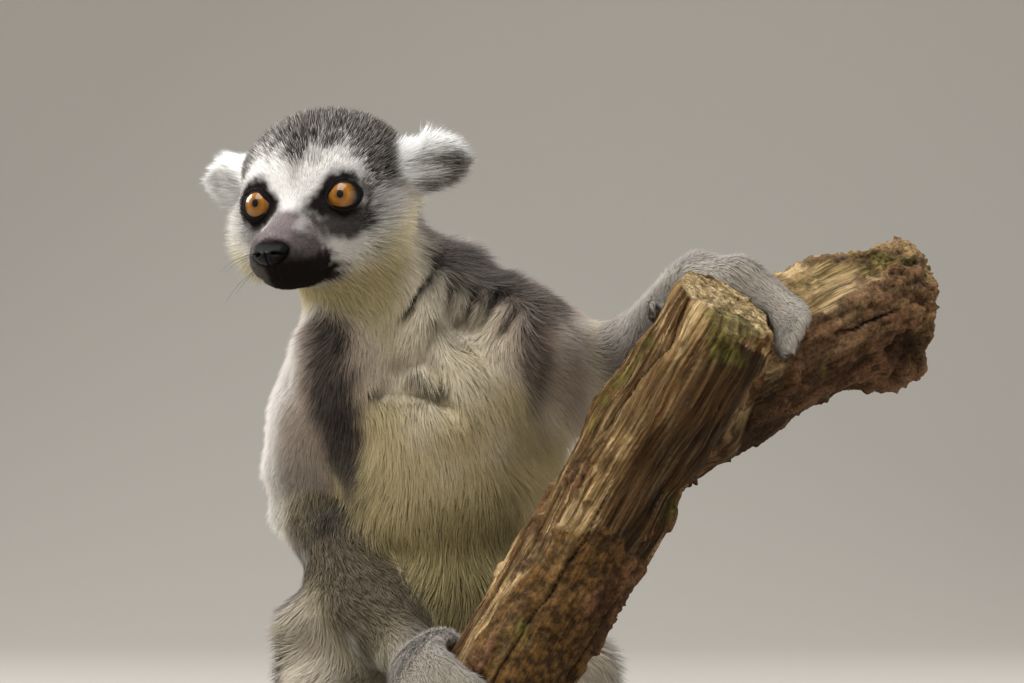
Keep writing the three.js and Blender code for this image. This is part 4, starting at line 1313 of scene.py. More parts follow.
# The lid's margin in section: each point's distance out as a share of the opening, and its height over the
# ball in mm.
LID_SECTION = (
    (0.97, 0.02), (0.985, 0.16), (1.03, 0.3), (1.09, 0.36), (1.17, 0.3),
    (1.26, 0.1), (1.26, -0.6), (1.1, -1.2), (0.99, -0.6),
)
LID_TURNS = 112


def opening_edge(ray, side):
    """How far from the middle of the eye's opening its edge lies along a ray, in mm."""
    low, high = 1.0, 14.0
    for _ in range(30):
        half = (low + high) / 2
        inside = opening_share(ray[0] * half, ray[1] * half, side) < 1
        low, high = (half, high) if inside else (low, half)
    return low


def lid_ring(side):
    """The bare dark margin of both lids, a smooth band that lies on the eyeball round its opening."""
    centre, outward, forward, up = eye_frame(side)
    points, faces = [], []
    size = len(LID_SECTION)
    for i, ray in enumerate(circle(LID_TURNS)):
        edge = opening_edge(ray, side)
        for share, height in LID_SECTION:
            a, b = ray * edge * share
            far = EYE_RADIUS + height
            ahead = math.sqrt(max(far * far - a * a - b * b, 4.0))
            points.append(centre + outward * a + up * b + forward * ahead)
        here, after = i * size, (i + 1) % LID_TURNS * size
        pairs = [(j, (j + 1) % size) for j in range(size)]
        faces += [(here + j, after + j, after + k, here + k) for j, k in pairs]
    return outward_mesh(f"lid_{side}", from_head(np.array(points)), faces)


def bare_material(name, code, roughness, shine, grain, depth):
    """Bare dark skin with the fine pebbled grain of a wet nose or an eyelid."""
    material, tree, shader = surface(name, roughness, Specular_IOR_Level=shine)
    add = functools.partial(add_node, tree)
    place = add("ShaderNodeTexCoord", output="Object")
    scale = 1 / (grain * MM)
    pebbles = add("ShaderNodeTexVoronoi", {"Vector": place, "Scale": scale}, "Distance", feature="F1")
    tone = add(MATH, {0: pebbles, 1: -0.6, 2: 1.25}, operation="MULTIPLY_ADD")
    base = add("ShaderNodeRGB")
    base.default_value = rgba(code)
    shade = add(VECTOR_MATH, {0: base, "Scale": tone}, operation="SCALE")
    tree.links.new(shade, shader.inputs["Base Color"])
    pebbled = add("ShaderNodeBump", {"Height": pebbles, "Distance": -depth * MM})
    tree.links.new(pebbled, shader.inputs["Normal"])
    return material


NOSE_RINGS, NOSE_TURNS = 80, 120


def nose_mesh():
    """The bare nose: two nostrils like commas, a cleft between them and a flat bridge."""
    rings = []
    for n in range(NOSE_RINGS + 1):
        polar = math.pi * n / NOSE_RINGS
        ring = circle(NOSE_TURNS, n in (0, NOSE_RINGS))
        ahead = np.full(len(ring), -math.cos(polar))
        rings.append(np.stack([math.sin(polar) * ring[:, 0], ahead, math.sin(polar) * ring[:, 1]], axis=1))
    ways = np.concatenate(rings)
    x, y, z = ways.T
    side = np.abs(x)
    squared = ways * NOSE_RADII * (1 + 0.07 * bell(side - 0.62, 0.2) * (np.abs(z) < 0.8))[:, None]
    front = smooth_step(-y, 0.0, 0.45)
    hole = bell(side - 0.47, 0.17) * bell(z + 0.12 + 0.35 * (side - 0.47), 0.15)
    slit = bell(z + 0.22 + 0.55 * (side - 0.8), 0.075)
    slit = slit * smooth_step(side, 0.5, 0.62) * (1 - smooth_step(side, 0.9, 1.0))
    cleft = bell(x, 0.045) * smooth_step(-z, -0.25, 0.1)
    wing = bell(side - 0.47, 0.3) * bell(z + 0.1, 0.3)
    inwards = front * (2.6 * hole + 1.0 * slit + 0.6 * cleft - 0.55 * wing)
    shaped = squared - ways * inwards[:, None]
    shaped[:, 2] -= 0.6 * smooth_step(-z, 0.5, 1.0)
    shaped[:, 0] *= 1 + 0.16 * smooth_step(z, -0.4, 0.5) - 0.14 * smooth_step(-z, 0.1, 0.9)
    shaped[:, 1] += 0.75 * np.maximum(shaped[:, 2], 0)
    shaped = from_head(shaped + NOSE_CENTRE)
    split = np.cumsum([len(r) for r in rings])[:-1]
    return outward_mesh("nose_leather", *ring_grid(np.split(shaped, split)))


def tube(path, radii, sides):
    """A thin closed tapering tube along a path."""
    points, faces = [], []
    path = np.array(path)
    for i, (place, radius) in enumerate(zip(path, radii)):
        way = unit(path[min(i + 1, len(path) - 1)] - path[max(i - 1, 0)])
        across = unit(np.cross(way, [0.3, 0.2, 0.93]))
        other = np.cross(way, across)
        for k in range(sides):
            turn = 2 * math.pi * k / sides
            points.append(place + radius * (math.cos(turn) * across + math.sin(turn) * other))
    for i in range(len(path) - 1):
        for k in range(sides):
            a, b = i * sides + k, i * sides + (k + 1) % sides
            faces.append((a, b, b + sides, a + sides))
    faces.append(tuple(reversed(range(sides))))
    faces.append(tuple(range((len(path) - 1) * sides, len(path) * sides)))
    return points, faces


WHISKER_PLACES = ((8, -27, -17.5), (9, -22, -18), (8.5, -26, -21.5), (9.5, -22.5, -22))  # on the left, in mm
WHISKER_BEND = np.array([0, 0.25, -0.22])
WHISKER_STEPS, WHISKER_SIDES = 9, 5
WHISKER_SEED = 11


def whiskers(skin_tree, longest):
    """A few very fine whiskers from the pads beside the nose."""
    random = np.random.default_rng(WHISKER_SEED)
    points, faces = [], []
    radii = np.linspace(0.07, 0.02, WHISKER_STEPS) * MM
    for sign in SIGN.values():
        for place in WHISKER_PLACES:
            hit = skin_tree.find_nearest(tuple(from_head(np.array(place) * [sign, 1, 1])))
            root = in_head(np.array(hit[0]))
            outward = np.array(hit[1]) @ HEAD_AXES.T
            way = unit(outward * 0.8 + np.array([sign * 0.75, 0.35, -0.35]) + random.normal(size=3) * 0.12)
            long = longest / MM * random.uniform(0.75, 1.2)
            steps = np.linspace(0, 1, WHISKER_STEPS)
            path = [root - way * 0.5 + way * long * t + WHISKER_BEND * long * t * t for t in steps]
            own, own_faces = tube(from_head(np.array(path)), radii, WHISKER_SIDES)
            faces += [tuple(len(points) + i for i in f) for f in own_faces]
            points += own
    return outward_mesh("whiskers", points, faces)


DRY_BLACK = {"code": "0A0706", "roughness": 0.55, "shine": 0.12, "grain": 0.45, "depth": 0.08}


def build_eyes(settings):
    dark = bare_material("Lid margin", **DRY_BLACK)
    wet = eye_material(settings.iris)
    for side in SIDES:
        show(f"eyeball_{side}", eyeball(side), wet, [f"eye_{side}"])
        show(f"lid_{side}", lid_ring(side), dark)


def build_nose(skin_mesh, settings):
    leather = bare_material("Nose leather", "060505", settings.roughness, 0.14, 0.55, 0.16)
    show("nose_leather", nose_mesh(), leather, ["nose"])
    polygons = [tuple(p.vertices) for p in skin_mesh.polygons]
    skin_tree = BVHTree.FromPolygons([tuple(v.co) for v in skin_mesh.vertices], polygons)
    hair = bare_material("Whisker", **DRY_BLACK)
    show("whiskers", whiskers(skin_tree, settings.whisker), hair)


# ---- Branch ----
BRANCH_RADIUS = 22.0  # mm
FORK_ROOT = 25.0  # how far before its middle the fork leaves the log, in mm
CUT_SLOPE = 0.42  # how far the log's upper end is cut towards the front
CUT_PLACE = 116.5  # along the log, in mm
BARK_EDGE = 18.0  # the bark is left below this place along the log, in mm
MOSS_PLACE, MOSS_RADII = (106, -73, 241), (16, 14, 16)  # mm
CROTCH_SHADE_PLACE, CROTCH_SHADE_RADII = (110, -30, 205), (20, 60, 20)  # painted shade on the wood under the fork, in mm
# Where the broken end has rotted, in mm.
HOLLOW = {"place": (172, -8, 240), "radii": (11, 16, 9), "depth": 5.0}
# Each crack: the length of the branch, the turn round it, its lean in radians to 100 mm, its middle and half
# length in mm, its width in mm and its strength.
CRACKS = (
    ("log", 0.72, 0.40, (84, 46), 0.5, 0.6),
    ("log", 1.55, 0.15, (-10, 60), 0.6, 0.5),
    ("log", 0.2, -0.1, (20, 70), 0.6, 0.5),
    ("log", -0.9, 0.1, (10, 90), 0.8, 0.8),
    ("log", 2.7, -0.1, (-50, 70), 0.8, 0.7),
    ("log", -2.2, 0.1, (40, 60), 0.8, 0.6),
    ("fork", 0.75, -0.6, (46, 20), 0.8, 1.0),
    ("fork", 1.6, 0.4, (20, 20), 0.7, 0.7),
    ("fork", -1.6, 0.2, (0, 40), 0.7, 0.8),
)
# Two shades of each sort of wood.
WOOD_TONES = {
    "fibre": ("866B45", "BFA274"),
    "fresh": ("C2A67C", "8D784E"),
    "rotten": ("6E5638", "98794F"),
    "bark": ("33230F", "6E4F28"),
    "rind": ("442C1C", "715038"),
    "cut": ("9A8459", "D2B98C"),
    "moss": ("3E3812", "706832"),
}


def wood_axes():
    """The middle and the long axis of each length of the branch."""
    axes = {}
    for name in BRANCH_NODES:
        points = NODE_POINTS[name]
        centre = points.mean(axis=0)
        axis = np.linalg.svd(points - centre, full_matrices=False)[2][0]
        axes[name] = (centre, axis * math.copysign(1, axis[2]))
    return axes


def fbm(vectors, octaves=3):
    """Layered noise from about -1 to 1."""
    return np.array([noise.fractal(Vector(v), 0.9, 2.1, octaves) for v in vectors])


def along_wood(points):
    """Which length of the branch each point is on, how far along it in mm, and the turn round it."""
    axes = wood_axes()
    far, along, turn = [], [], []
    for name in BRANCH_NODES:
        centre, axis = axes[name]
        offset = points - centre
        t = offset @ axis
        across = unit(np.cross(axis, [0.2, 1.0, 0.1]))
        spoke = offset - t[:, None] * axis
        half = np.ptp((NODE_POINTS[name] - centre) @ axis) / 2
        root = half if name == "branch_log" else FORK_ROOT * MM
        beyond = np.maximum(np.maximum(t - half, -t - root), 0)
        far.append(np.hypot(np.linalg.norm(spoke, axis=1), beyond))
        along.append(t / MM)
        turn.append(np.arctan2(spoke @ np.cross(axis, across), spoke @ across))
    best = np.argmin(far, axis=0)
    pick = np.arange(len(points))
    return best, np.array(along)[best, pick], np.array(turn)[best, pick]


def crack_depth(forked, along, turn):
    """0 to 1, deepest along the middle of each crack."""
    deep = np.zeros(len(along))
    for where, at, lean, (centre, half), wide, strength in CRACKS:
        wander = 0.09 * fbm(np.stack([along * 0.06, np.zeros_like(along), np.full_like(along, at)], 1), 3)
        turned_by = turn - at - lean * along / 100 - wander
        off = np.abs((turned_by + math.pi) % (2 * math.pi) - math.pi) * BRANCH_RADIUS
        fade = 1 - smooth_step(np.abs(along - centre), half * 0.6, half)
        deep = np.maximum(deep, strength * (forked == (where == "fork")) * fade * bell(off, wide))
    return deep


def trimmed_branch(voxel):
    """The forked branch in one, its upper end cut on a slant, with the sort of place each point is."""
    mesh = union(BRANCH_NODES, voxel, lambda name: WIDE_CLOSING)
    points, edges = mesh_points(mesh), edges_of(mesh)
    best, along, turn = along_wood(points)
    forked = best == BRANCH_NODES.index("branch_fork")
    ways = np.array([wood_axes()[name][1] for name in BRANCH_NODES])[best]
    facing = np.sum(mesh_normals(mesh) * ways, axis=1)
    flat_end = smooth_step(np.abs(facing), 0.55, 0.8) * (np.abs(along) > np.where(forked, 30, 95))
    points = eased(points, edges, 30, 0.5 * (1 - 0.9 * flat_end))
    set_points(mesh, points)
    points = points - mesh_normals(mesh) * WIDE_CLOSING
    centre, axis = wood_axes()["branch_log"]
    slope = unit(axis + np.array([0, -CUT_SLOPE, 0]))
    over = np.where(forked, -1.0, (points - centre - axis * CUT_PLACE * MM) @ slope)
    points = points - np.maximum(over, 0)[:, None] / (slope @ axis) * axis
    flat_end = np.maximum(flat_end, smooth_step(over / MM, -0.6, 0.4))
    set_points(mesh, points)
    mm = points / MM
    swirl = 0.06 * fbm(mm * 0.03, 2)
    spun = np.stack([np.cos(turn + swirl), np.sin(turn + swirl)], axis=1) * BRANCH_RADIUS
    grain = np.concatenate([spun, (along + 300 * best)[:, None]], axis=1)
    place = {"mm": mm, "forked": forked, "along": along, "turn": turn, "flat_end": flat_end, "grain": grain}
    return mesh, SimpleNamespace(**place)


def weathered(wood, normals):
    """Adds what the weather has made of each point: fibres, crumbs, rind, bark, cracks, rot and moss."""
    mm, grain, forked, turn = wood.mm, wood.grain, wood.forked, wood.turn
    wood.sawn = wood.flat_end * (1 - forked)
    wood.fibres = fbm(grain * [0.6, 0.6, 0.045], 4)
    ridges = 0.5 - np.abs(fbm(grain * [0.17, 0.17, 0.011], 3)) * 2
    wood.threads = 0.8 * ridges + 0.75 * wood.fibres
    wood.crumbs = fbm(mm * 0.19 + 4.4, 4)
    wood.lumps = fbm(mm * 0.035, 2)
    wood.broken = forked * smooth_step(wood.along + 9 * fbm(mm * 0.05, 2), 34, 44)
    torn = 0.6 * forked * (turn > 1.0) + fbm(grain * [0.06, 0.06, 0.03] + 7.7, 4)
    wood.rind = smooth_step(torn, 0.36, 0.44) * (1 - wood.flat_end)
    wood.flakes = smooth_step(fbm(grain * [0.13, 0.13, 0.05] + 3.1, 4), -0.02, 0.06)
    bark_edge = BARK_EDGE + 14 * fbm(grain * [0.03, 0.03, 0.015] + 6.2, 4)
    below = smooth_step(bark_edge - wood.along, -0.8, 1.2)
    wood.bark = ~forked * below * smooth_step(np.abs(turn + 0.5) + 0.3 * wood.lumps, 1.2, 1.35)
    soft = 0.55 * forked * smooth_step(fbm(mm * 0.05 + 2.2, 3), 0.0, 0.25)
    wood.crumbly = np.max([wood.broken, soft, 0.6 * wood.bark], axis=0)
    wood.cracks = crack_depth(forked, wood.along, turn) * (1 - wood.flat_end)
    wood.pits = egg_share(mm, HOLLOW["place"], HOLLOW["radii"]) + 0.2 * wood.crumbs
    wood.pits = 1 - smooth_step(wood.pits, 0.5, 1.15)
    cushion = 1 - smooth_step(egg_share(mm, MOSS_PLACE, MOSS_RADII), 0.6, 1.3)
    damp = 0.8 * fbm(mm * 0.05 + 5.5, 4) + 0.25 * normals[:, 2] + 0.55 * cushion
    wood.moss = smooth_step(damp, 0.34, 0.62)


def wood_relief(wood, cracked):
    """How far each point of the branch stands out, in mm; cracked is the depth of the deepest crack."""
    crumbling = (2.4 - 1.2 * wood.bark) * wood.crumbly * wood.crumbs
    relief = 1.5 * wood.lumps + (1 - wood.crumbly) * wood.threads + crumbling
    relief = relief * (1 - 0.85 * wood.sawn) - 0.4
    relief += wood.bark * 1.1
    relief += wood.rind * (0.5 + 1.3 * wood.flakes + 0.5 * wood.crumbs)
    relief += wood.sawn * 0.9 * fbm(wood.mm * 0.3, 4)
    return relief - HOLLOW["depth"] * wood.pits - cracked / MM * wood.cracks


def wood_tone(name, share):
    dark, light = WOOD_TONES[name]
    return blend(colour(dark), colour(light), share)


def bare_wood(wood):
    """Tan fibres, dark brown on the side turned from the light, partly damp wood and partly painted shade,
    and pale where it has lost its rind.
    """
    streak = fbm(wood.grain * [0.55, 0.55, 0.035] + 3.3, 4)
    broad = fbm(wood.grain * [0.1, 0.1, 0.02] + 9.1, 3)
    turn = wood.turn + 0.5 * broad
    shade = wood_tone("fibre", smooth_step(streak, 0.05, 0.4))
    shade = blend(shade, colour("563A1D"), smooth_step(-streak + 0.5 * broad, 0.0, 0.4))
    # The side turned from the light is darkened: partly damp wood, partly painted shade.
    damp = smooth_step(turn, 1.35, 2.1) * (1 - smooth_step(wood.turn, 2.9, 3.1)) * (wood.along < 104)
    damp = np.maximum(damp, wood.forked * smooth_step(turn, 1.7, 2.4))
    shade = blend(shade, colour("2A1A0B"), 0.88 * damp)
    fresh = wood.forked * (1 - smooth_step(turn, 1.2, 1.9)) * (wood.turn > -1.5)
    shade = blend(shade, wood_tone("fresh", smooth_step(broad, -0.1, 0.4)), 0.8 * fresh)
    blotch = smooth_step(fbm(wood.mm * 0.055 + 1.7, 4), 0.02, 0.2)
    return blend(shade, colour("4A3216"), 0.55 * blotch)


def wood_colours(wood):
    """Weathered fibres with red-brown rind, bark, dull moss and a pale cut, with painted shade under the fork
    and in the grooves, hollows and cracks.
    """
    crumbs, mottle = wood.crumbs, fbm(wood.mm * 0.4, 3)
    shade = blend(bare_wood(wood), wood_tone("rotten", smooth_step(crumbs, -0.15, 0.3)), 0.8 * wood.broken)
    shade = blend(shade, wood_tone("bark", smooth_step(0.5 * crumbs + mottle, -0.35, 0.45)), wood.bark * 0.75)
    shade = blend(shade, wood_tone("rind", smooth_step(wood.flakes + crumbs, 0.3, 1.1)), wood.rind * 0.7)
    shade = blend(shade, wood_tone("cut", smooth_step(fbm(wood.mm * 0.35, 4), -0.25, 0.3)), wood.sawn * 0.85)
    shade = blend(shade, wood_tone("moss", smooth_step(wood.fibres + crumbs, -0.3, 0.4)), wood.moss * 0.75)
    # Painted shade under the fork.
    crotch_shade = 1 - smooth_step(egg_share(wood.mm, CROTCH_SHADE_PLACE, CROTCH_SHADE_RADII) + 0.3 * crumbs, 0.6, 1.2)
    shade = blend(shade, colour("2E1F10"), 0.75 * crotch_shade)
    # Grooves, rotted pits and cracks are darkened as painted shade.
    low = -wood.threads * (1 - wood.crumbly) - (2.0 - 1.2 * wood.bark) * crumbs * wood.crumbly
    shade = blend(shade, shade * 0.3, np.maximum(0.8 * smooth_step(low, 0.15, 1.3), 0.9 * wood.pits))
    return blend(shade, colour("120C07"), smooth_step(wood.cracks, 0.15, 0.6))


def branch_shape(voxel, cracked):
    """The cut forked branch: fibrous weathered wood, cracks, remnants of rind, moss, and a broken end."""
    mesh, wood = trimmed_branch(voxel)
    normals = mesh_normals(mesh)
    weathered(wood, normals)
    set_points(mesh, wood.mm * MM + normals * (wood_relief(wood, cracked) * MM)[:, None])
    store(mesh, "grain", "FLOAT_VECTOR", wood.grain)
    store(mesh, "crumbly", "FLOAT", np.max([wood.crumbly, 0.7 * wood.rind, wood.flat_end], axis=0))
    store(mesh, "wood_colour", "FLOAT_COLOR", as_colour(wood_colours(wood)))
    return mesh


def wood_material():
    """Dry fibrous wood: light and dark fibres along the grain, crumbly where it has rotted."""
    material, tree, shader = surface("Weathered wood", 0.85, Specular_IOR_Level=0.15)
    add = functools.partial(add_node, tree)
    place = add("ShaderNodeTexCoord", output="Object")
    grain = add("ShaderNodeAttribute", output="Vector", attribute_name="grain")
    crumbly = add("ShaderNodeAttribute", output="Fac", attribute_name="crumbly")
    markings = add("ShaderNodeAttribute", output="Color", attribute_name="wood_colour")
    drawn_out = add("ShaderNodeMapping", {"Vector": grain, "Scale": (1.1, 1.1, 0.055)})
    fine = {"Detail": 6.0, "Roughness": 0.7}
    fibre = add("ShaderNodeTexNoise", {"Vector": drawn_out, "Scale": 1.0, **fine}, "Fac")
    coarse = {"Detail": 6.0, "Roughness": 0.75}
    grit = add("ShaderNodeTexNoise", {"Vector": place, "Scale": 1 / (1.7 * MM), **coarse}, "Fac")
    texture = add("ShaderNodeMix", {0: crumbly, 2: fibre, 3: grit})
    sharp = add("ShaderNodeMapRange", {0: texture, 1: 0.38, 2: 0.62, 3: 0.3, 4: 1.6})
    shade = add(VECTOR_MATH, {0: markings, "Scale": sharp}, operation="SCALE")
    tree.links.new(shade, shader.inputs["Base Color"])
    tree.links.new(add("ShaderNodeBump", {"Height": texture, "Distance": 1.6 * MM}), shader.inputs["Normal"])
    return material


def build_branch(settings):
    shape = branch_shape(settings.voxel, settings.cracks)
    show("branch", shape, wood_material(), BRANCH_NODES)


# ---- Display stand ----
def turned(profile, count):
    """A body of revolution about Z from a profile of radius and height that starts and ends on it."""
    rings = []
    for radius, height in profile:
        flat = radius * circle(count, radius == 0)
        rings.append(np.column_stack([flat, np.full(len(flat), height)]))
    return ring_grid(rings)


BASE_TURNS, ROD_TURNS = 160, 48
BASE_EASE, ROD_EDGE = 3 * MM, 0.4 * MM  # how far the edges are rounded or broken


def base_profile():
    """Radius and height along the base's section: flat, with both edges rounded."""
    low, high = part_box("stand_base")
    radius, top = (high.x - low.x) / 2, high.z
    inner = radius - BASE_EASE
    arc = [math.radians(10 * i) for i in range(10)]
    rim = [(inner + BASE_EASE * math.sin(a), BASE_EASE - BASE_EASE * math.cos(a)) for a in arc]
    rim += [(inner + BASE_EASE * math.cos(a), top - BASE_EASE + BASE_EASE * math.sin(a)) for a in arc]
    flat = [radius * share for share in (0.3, 0.6, 0.85, 0.95)]
    return [(0, 0), *((r, 0) for r in flat), *rim, *((r, top) for r in reversed(flat)), (0, top)]


def hardwood(dark, light):
    """Dark hardwood under a thin varnish, with its figure drawn out along the plank."""
    material, tree, shader = surface("Dark hardwood", 0.42, Coat_Weight=0.35, Coat_Roughness=0.3)
    add = functools.partial(add_node, tree)
    place = add("ShaderNodeTexCoord", output="Object")
    plank = add("ShaderNodeMapping", {"Vector": place, "Scale": (40.0, 900.0, 900.0)})
    wavy = {"Vector": plank, "Scale": 0.35, "Detail": 5.0, "Distortion": 0.4}
    figure = add("ShaderNodeTexNoise", wavy, "Fac")
    share = add("ShaderNodeMapRange", {0: figure, 1: 0.3, 2: 0.7})
    shade = add("ShaderNodeMix", {"Factor": share, 6: tuple(dark), 7: tuple(light)}, 2, data_type="RGBA")
    tree.links.new(shade, shader.inputs["Base Color"])
    tree.links.new(add("ShaderNodeBump", {"Height": figure, "Distance": 0.08 * MM}), shader.inputs["Normal"])
    return material


def brushed_steel(tint):
    """Steel with fine brushed lines round the rod."""
    material, tree, shader = surface("Brushed steel", 0.32, Metallic=1.0, Base_Color=tuple(tint))
    add = functools.partial(add_node, tree)
    place = add("ShaderNodeTexCoord", output="Object")
    brushed = add("ShaderNodeMapping", {"Vector": place, "Scale": (2500.0, 2500.0, 60.0)})
    lines = add("ShaderNodeTexNoise", {"Vector": brushed, "Scale": 1.0}, "Fac")
    tree.links.new(add("ShaderNodeBump", {"Height": lines, "Distance": 0.03 * MM}), shader.inputs["Normal"])
    return material


def build_stand(settings):
    base = outward_mesh("base", *turned(base_profile(), BASE_TURNS))
    wood = hardwood(settings.dark_grain, settings.light_grain)
    show("display_base", base, wood, ["stand_base"])
    steel = brushed_steel(settings.steel)
    for n in (1, 2):
        low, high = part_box(f"stand_rod_{n}")
        radius = (high.x - low.x) / 2
        narrow, bottom, top = radius - ROD_EDGE, low.z, high.z
        side = [(radius, bottom + ROD_EDGE), (radius, top - ROD_EDGE)]
        points, faces = turned([(0, bottom), (narrow, bottom), *side, (narrow, top), (0, top)], ROD_TURNS)
        middle_of_rod = np.array([(low.x + high.x) / 2, (low.y + high.y) / 2, 0])
        rod = outward_mesh(f"rod_{n}", [p + middle_of_rod for p in points], faces)
        show(f"display_rod_{n}", rod, steel, [f"stand_rod_{n}"])


# ---- Stage, light and camera ----
# The floor and the wall behind it, joined by a bend: half the width, the front edge, where the bend starts,
# its radius and the wall's height, in metres.
BACKDROP = {"half_width": 6.0, "front": -3.0, "back": 1.6, "bend": 1.2, "height": 4.0}
# Each light: its name, place, size and power.
LIGHTS = (
    ("key", (-0.5, -0.75, 1.75), 1.3, 38),
    ("fill", (1.2, -1.4, 0.6), 1.4, 7),
    ("rim", (-1.3, 0.55, 1.0), 0.7, 22),
    ("rim_right", (1.1, 0.9, 1.0), 0.6, 10),
)
LIT_PLACE = Vector((0, 0, 0.2))  # where every light points
CAMERA_PLACE, CAMERA_TILT = (0.0236, -0.918, 0.2), math.radians(92.69)


def backdrop_mesh():
    low, bend = BACKDROP["back"], BACKDROP["bend"]
    arc = [(low + bend * math.sin(a), bend - bend * math.cos(a)) for a in np.linspace(0, math.pi / 2, 24)]
    line = [(BACKDROP["front"], 0.0), *arc, (low + bend, BACKDROP["height"])]
    wide = BACKDROP["half_width"]
    points = [(x, y, z) for y, z in line for x in (-wide, wide)]
    faces = [(2 * i, 2 * i + 1, 2 * i + 3, 2 * i + 2) for i in range(len(line) - 1)]
    mesh = mesh_from("backdrop", points, faces)
    mesh.polygons.foreach_set("use_smooth", [True] * len(mesh.polygons))
    return mesh


def build_stage(settings):
    scene = bpy.context.scene
    mesh = backdrop_mesh()
    paper, _, _ = surface("Pale paper", 0.95, Base_Color=tuple(settings.paper), Specular_IOR_Level=0.1)
    mesh.materials.append(paper)
    backdrop = bpy.data.objects.new("backdrop", mesh)
    scene.collection.objects.link(backdrop)
    for name, place, size, power in LIGHTS:
        light = bpy.data.lights.new(name, "AREA")
        light.energy, light.size = power * settings.brightness, size
        lamp = bpy.data.objects.new(name, light)
        lamp.location = place
        lamp.rotation_euler = (LIT_PLACE - Vector(place)).to_track_quat("-Z", "Y").to_euler()
        scene.collection.objects.link(lamp)
    world = bpy.data.worlds.new("Studio")
    world.use_nodes = True
    background = world.node_tree.nodes["Background"]
    background.inputs["Color"].default_value = rgba("D8D6D2")
    background.inputs["Strength"].default_value = 0.5
    scene.world = world
    camera = bpy.data.cameras.new("camera")
    camera.lens, camera.clip_start, camera.clip_end = settings.lens, 0.01, 50
    eye = bpy.data.objects.new("camera", camera)
    eye.location = CAMERA_PLACE
    eye.rotation_euler = (CAMERA_TILT, 0, 0)
    scene.collection.objects.link(eye)
    scene.camera = eye
    scene.view_settings.view_transform = "Standard"


# ---- Settings ----
class SkinSettings(bpy.types.PropertyGroup):
    """The skin under the coat."""

    voxel: bpy.props.FloatProperty(
        name="Voxel", description="Size of the first mesh's squares",
        default=2.1 * MM, min=1 * MM, unit="LENGTH",
    )


class CoatSettings(bpy.types.PropertyGroup):
    """The tufts of the coat."""

    density: bpy.props.FloatProperty(
        name="Density", description="Share of the full number of tufts",
        default=1, min=0.05, max=1, subtype="FACTOR",
    )
    width: bpy.props.FloatProperty(
        name="Width", description="Width of each tuft against its usual width",
        default=1, min=0.2, max=4,
    )
    seed: bpy.props.IntProperty(
        name="Seed", description="Start of the random placing of the tufts",
        default=1,
    )


class FaceSettings(bpy.types.PropertyGroup):
    """The eyes, the nose and the whiskers."""

    iris: bpy.props.FloatVectorProperty(
        name="Iris", description="Colour of the iris",
        default=rgba("98600A"), size=4, subtype="COLOR",
    )
    roughness: bpy.props.FloatProperty(
        name="Nose Roughness", description="How dull the bare nose is",
        default=0.38, min=0, max=1, subtype="FACTOR",
    )
    whisker: bpy.props.FloatProperty(
        name="Whisker", description="Length of a whisker",
        default=15 * MM, min=1 * MM, unit="LENGTH",
    )


class BranchSettings(bpy.types.PropertyGroup):
    """The branch that the lemur holds."""

    voxel: bpy.props.FloatProperty(
        name="Voxel", description="Size of the mesh's squares",
        default=1.12 * MM, min=0.8 * MM, unit="LENGTH",
    )
    cracks: bpy.props.FloatProperty(
        name="Cracks", description="Depth of the deepest crack",
        default=3.2 * MM, min=0, unit="LENGTH",
    )


class StandSettings(bpy.types.PropertyGroup):
    """The display base and its rods."""

    dark_grain: bpy.props.FloatVectorProperty(
        name="Dark Grain", description="Darkest tone of the base",
        default=rgba("2B1F18"), size=4, subtype="COLOR",
    )
    light_grain: bpy.props.FloatVectorProperty(
        name="Light Grain", description="Lightest tone of the base",
        default=rgba("4A372A"), size=4, subtype="COLOR",
    )
    steel: bpy.props.FloatVectorProperty(
        name="Steel", description="Colour of the rods",
        default=rgba("A3A6A8"), size=4, subtype="COLOR",
    )


class StageSettings(bpy.types.PropertyGroup):
    """The floor, the lights and the camera."""

    paper: bpy.props.FloatVectorProperty(
        name="Paper", description="Colour of the floor and backdrop",
        default=rgba("C4BFB7"), size=4, subtype="COLOR",
    )
    brightness: bpy.props.FloatProperty(
        name="Brightness", description="Power of all the lights together",
        default=1, min=0, max=4,
    )
    lens: bpy.props.FloatProperty(
        name="Lens", description="Focal length in millimetres",
        default=85, min=20, max=200,
    )


class LemurSettings(bpy.types.PropertyGroup):
    """All that can be set on the lemur."""

    skin: bpy.props.PointerProperty(type=SkinSettings)
    coat: bpy.props.PointerProperty(type=CoatSettings)
    face: bpy.props.PointerProperty(type=FaceSettings)
    branch: bpy.props.PointerProperty(type=BranchSettings)
    stand: bpy.props.PointerProperty(type=StandSettings)
    stage: bpy.props.PointerProperty(type=StageSettings)


def made_skin():
    """The mesh of the skin, which the coat and the whiskers grow from."""
    mesh = bpy.data.meshes.get("skin")
    if mesh is None:
        raise RuntimeError("the skin has to be made first")
    return mesh


# ---- Operators ----
class LEMUR_OT_stage(bpy.types.Operator):
    """Makes the floor, the lights and the camera"""

    bl_idname = "lemur.stage"
    bl_label = "Stage"

    def execute(self, context):
        build_stage(context.scene.lemur.stage)
        return {"FINISHED"}


class LEMUR_OT_skin(bpy.types.Operator):
    """Grows one skin inside the solids, with its lids, lips, folds and markings"""

    bl_idname = "lemur.skin"
    bl_label = "Skin"

    def execute(self, context):
        mesh = finer_face(skin_shape(context.scene.lemur.skin.voxel))
        shape_face(mesh)
        press_folds(mesh)
        dress_skin(mesh)
        mesh.name = "skin"
        show("skin", mesh, skin_material(), FLESH_NODES)
        return {"FINISHED"}


class LEMUR_OT_eyes(bpy.types.Operator):
    """Makes both eyeballs and the margins of their lids"""

    bl_idname = "lemur.eyes"
    bl_label = "Eyes"

    def execute(self, context):
        build_eyes(context.scene.lemur.face)
        return {"FINISHED"}


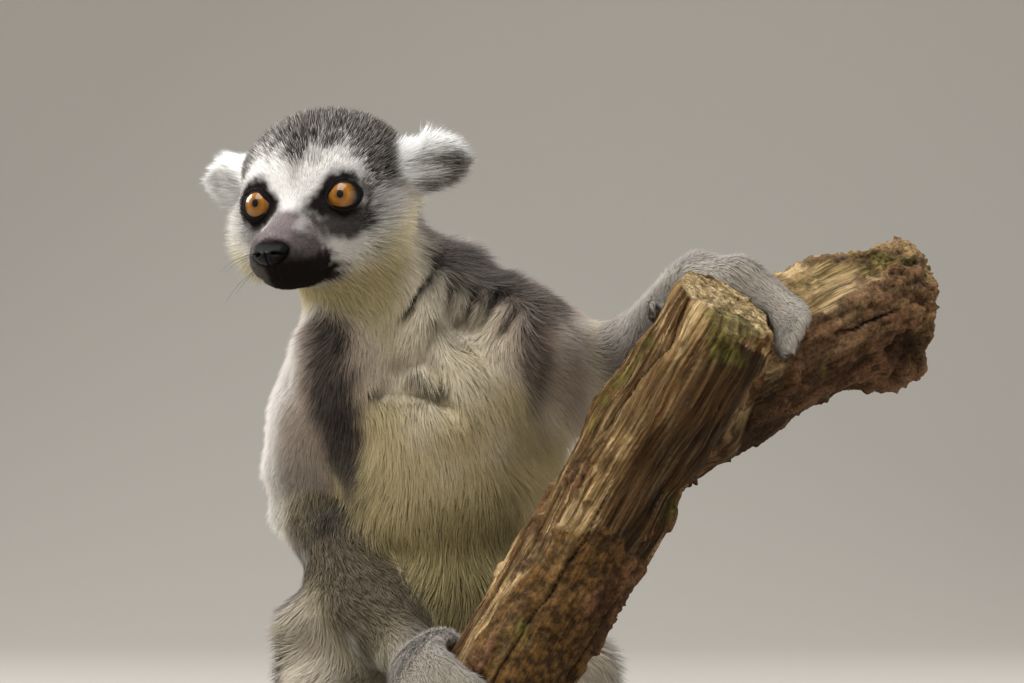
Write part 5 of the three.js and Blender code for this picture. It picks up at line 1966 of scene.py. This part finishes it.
class LEMUR_OT_nose(bpy.types.Operator):
    """Makes the bare nose and the whiskers"""

    bl_idname = "lemur.nose"
    bl_label = "Nose and Whiskers"

    def execute(self, context):
        build_nose(made_skin(), context.scene.lemur.face)
        return {"FINISHED"}


class LEMUR_OT_coat(bpy.types.Operator):
    """Dresses the skin in tufts of fur, one piece for each part of the body"""

    bl_idname = "lemur.coat"
    bl_label = "Coat"

    def execute(self, context):
        build_coat(made_skin(), context.scene.lemur.coat)
        return {"FINISHED"}


class LEMUR_OT_branch(bpy.types.Operator):
    """Makes the cut forked branch"""

    bl_idname = "lemur.branch"
    bl_label = "Branch"

    def execute(self, context):
        build_branch(context.scene.lemur.branch)
        return {"FINISHED"}


class LEMUR_OT_stand(bpy.types.Operator):
    """Makes the display base and its two rods"""

    bl_idname = "lemur.stand"
    bl_label = "Display Stand"

    def execute(self, context):
        build_stand(context.scene.lemur.stand)
        return {"FINISHED"}


OPERATORS = (
    LEMUR_OT_stage,
    LEMUR_OT_skin,
    LEMUR_OT_eyes,
    LEMUR_OT_nose,
    LEMUR_OT_coat,
    LEMUR_OT_branch,
    LEMUR_OT_stand,
)


class LEMUR_PT_panel(bpy.types.Panel):
    """Lists the pieces and their settings"""

    bl_idname = "LEMUR_PT_panel"
    bl_label = "Ring-tailed Lemur"
    bl_space_type = "VIEW_3D"
    bl_region_type = "UI"
    bl_category = "Lemur"

    def draw(self, context):
        for operator in OPERATORS:
            self.layout.operator(operator.bl_idname)
        for name in LemurSettings.__annotations__:
            group = getattr(context.scene.lemur, name)
            box = self.layout.box()
            box.label(text=name.title())
            for setting in group.__annotations__:
                box.prop(group, setting)


CLASSES = (
    SkinSettings,
    CoatSettings,
    FaceSettings,
    BranchSettings,
    StandSettings,
    StageSettings,
    LemurSettings,
    *OPERATORS,
    LEMUR_PT_panel,
)


def register():
    for kind in CLASSES:
        bpy.utils.register_class(kind)
    bpy.types.Scene.lemur = bpy.props.PointerProperty(type=LemurSettings)


def unregister():
    del bpy.types.Scene.lemur
    for kind in reversed(CLASSES):
        bpy.utils.unregister_class(kind)


def main():
    register()
    bpy.ops.lemur.stage()
    bpy.ops.lemur.skin()
    bpy.ops.lemur.eyes()
    bpy.ops.lemur.nose()
    bpy.ops.lemur.coat()
    bpy.ops.lemur.branch()
    bpy.ops.lemur.stand()
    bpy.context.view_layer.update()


if __name__ == "__main__":
    main()
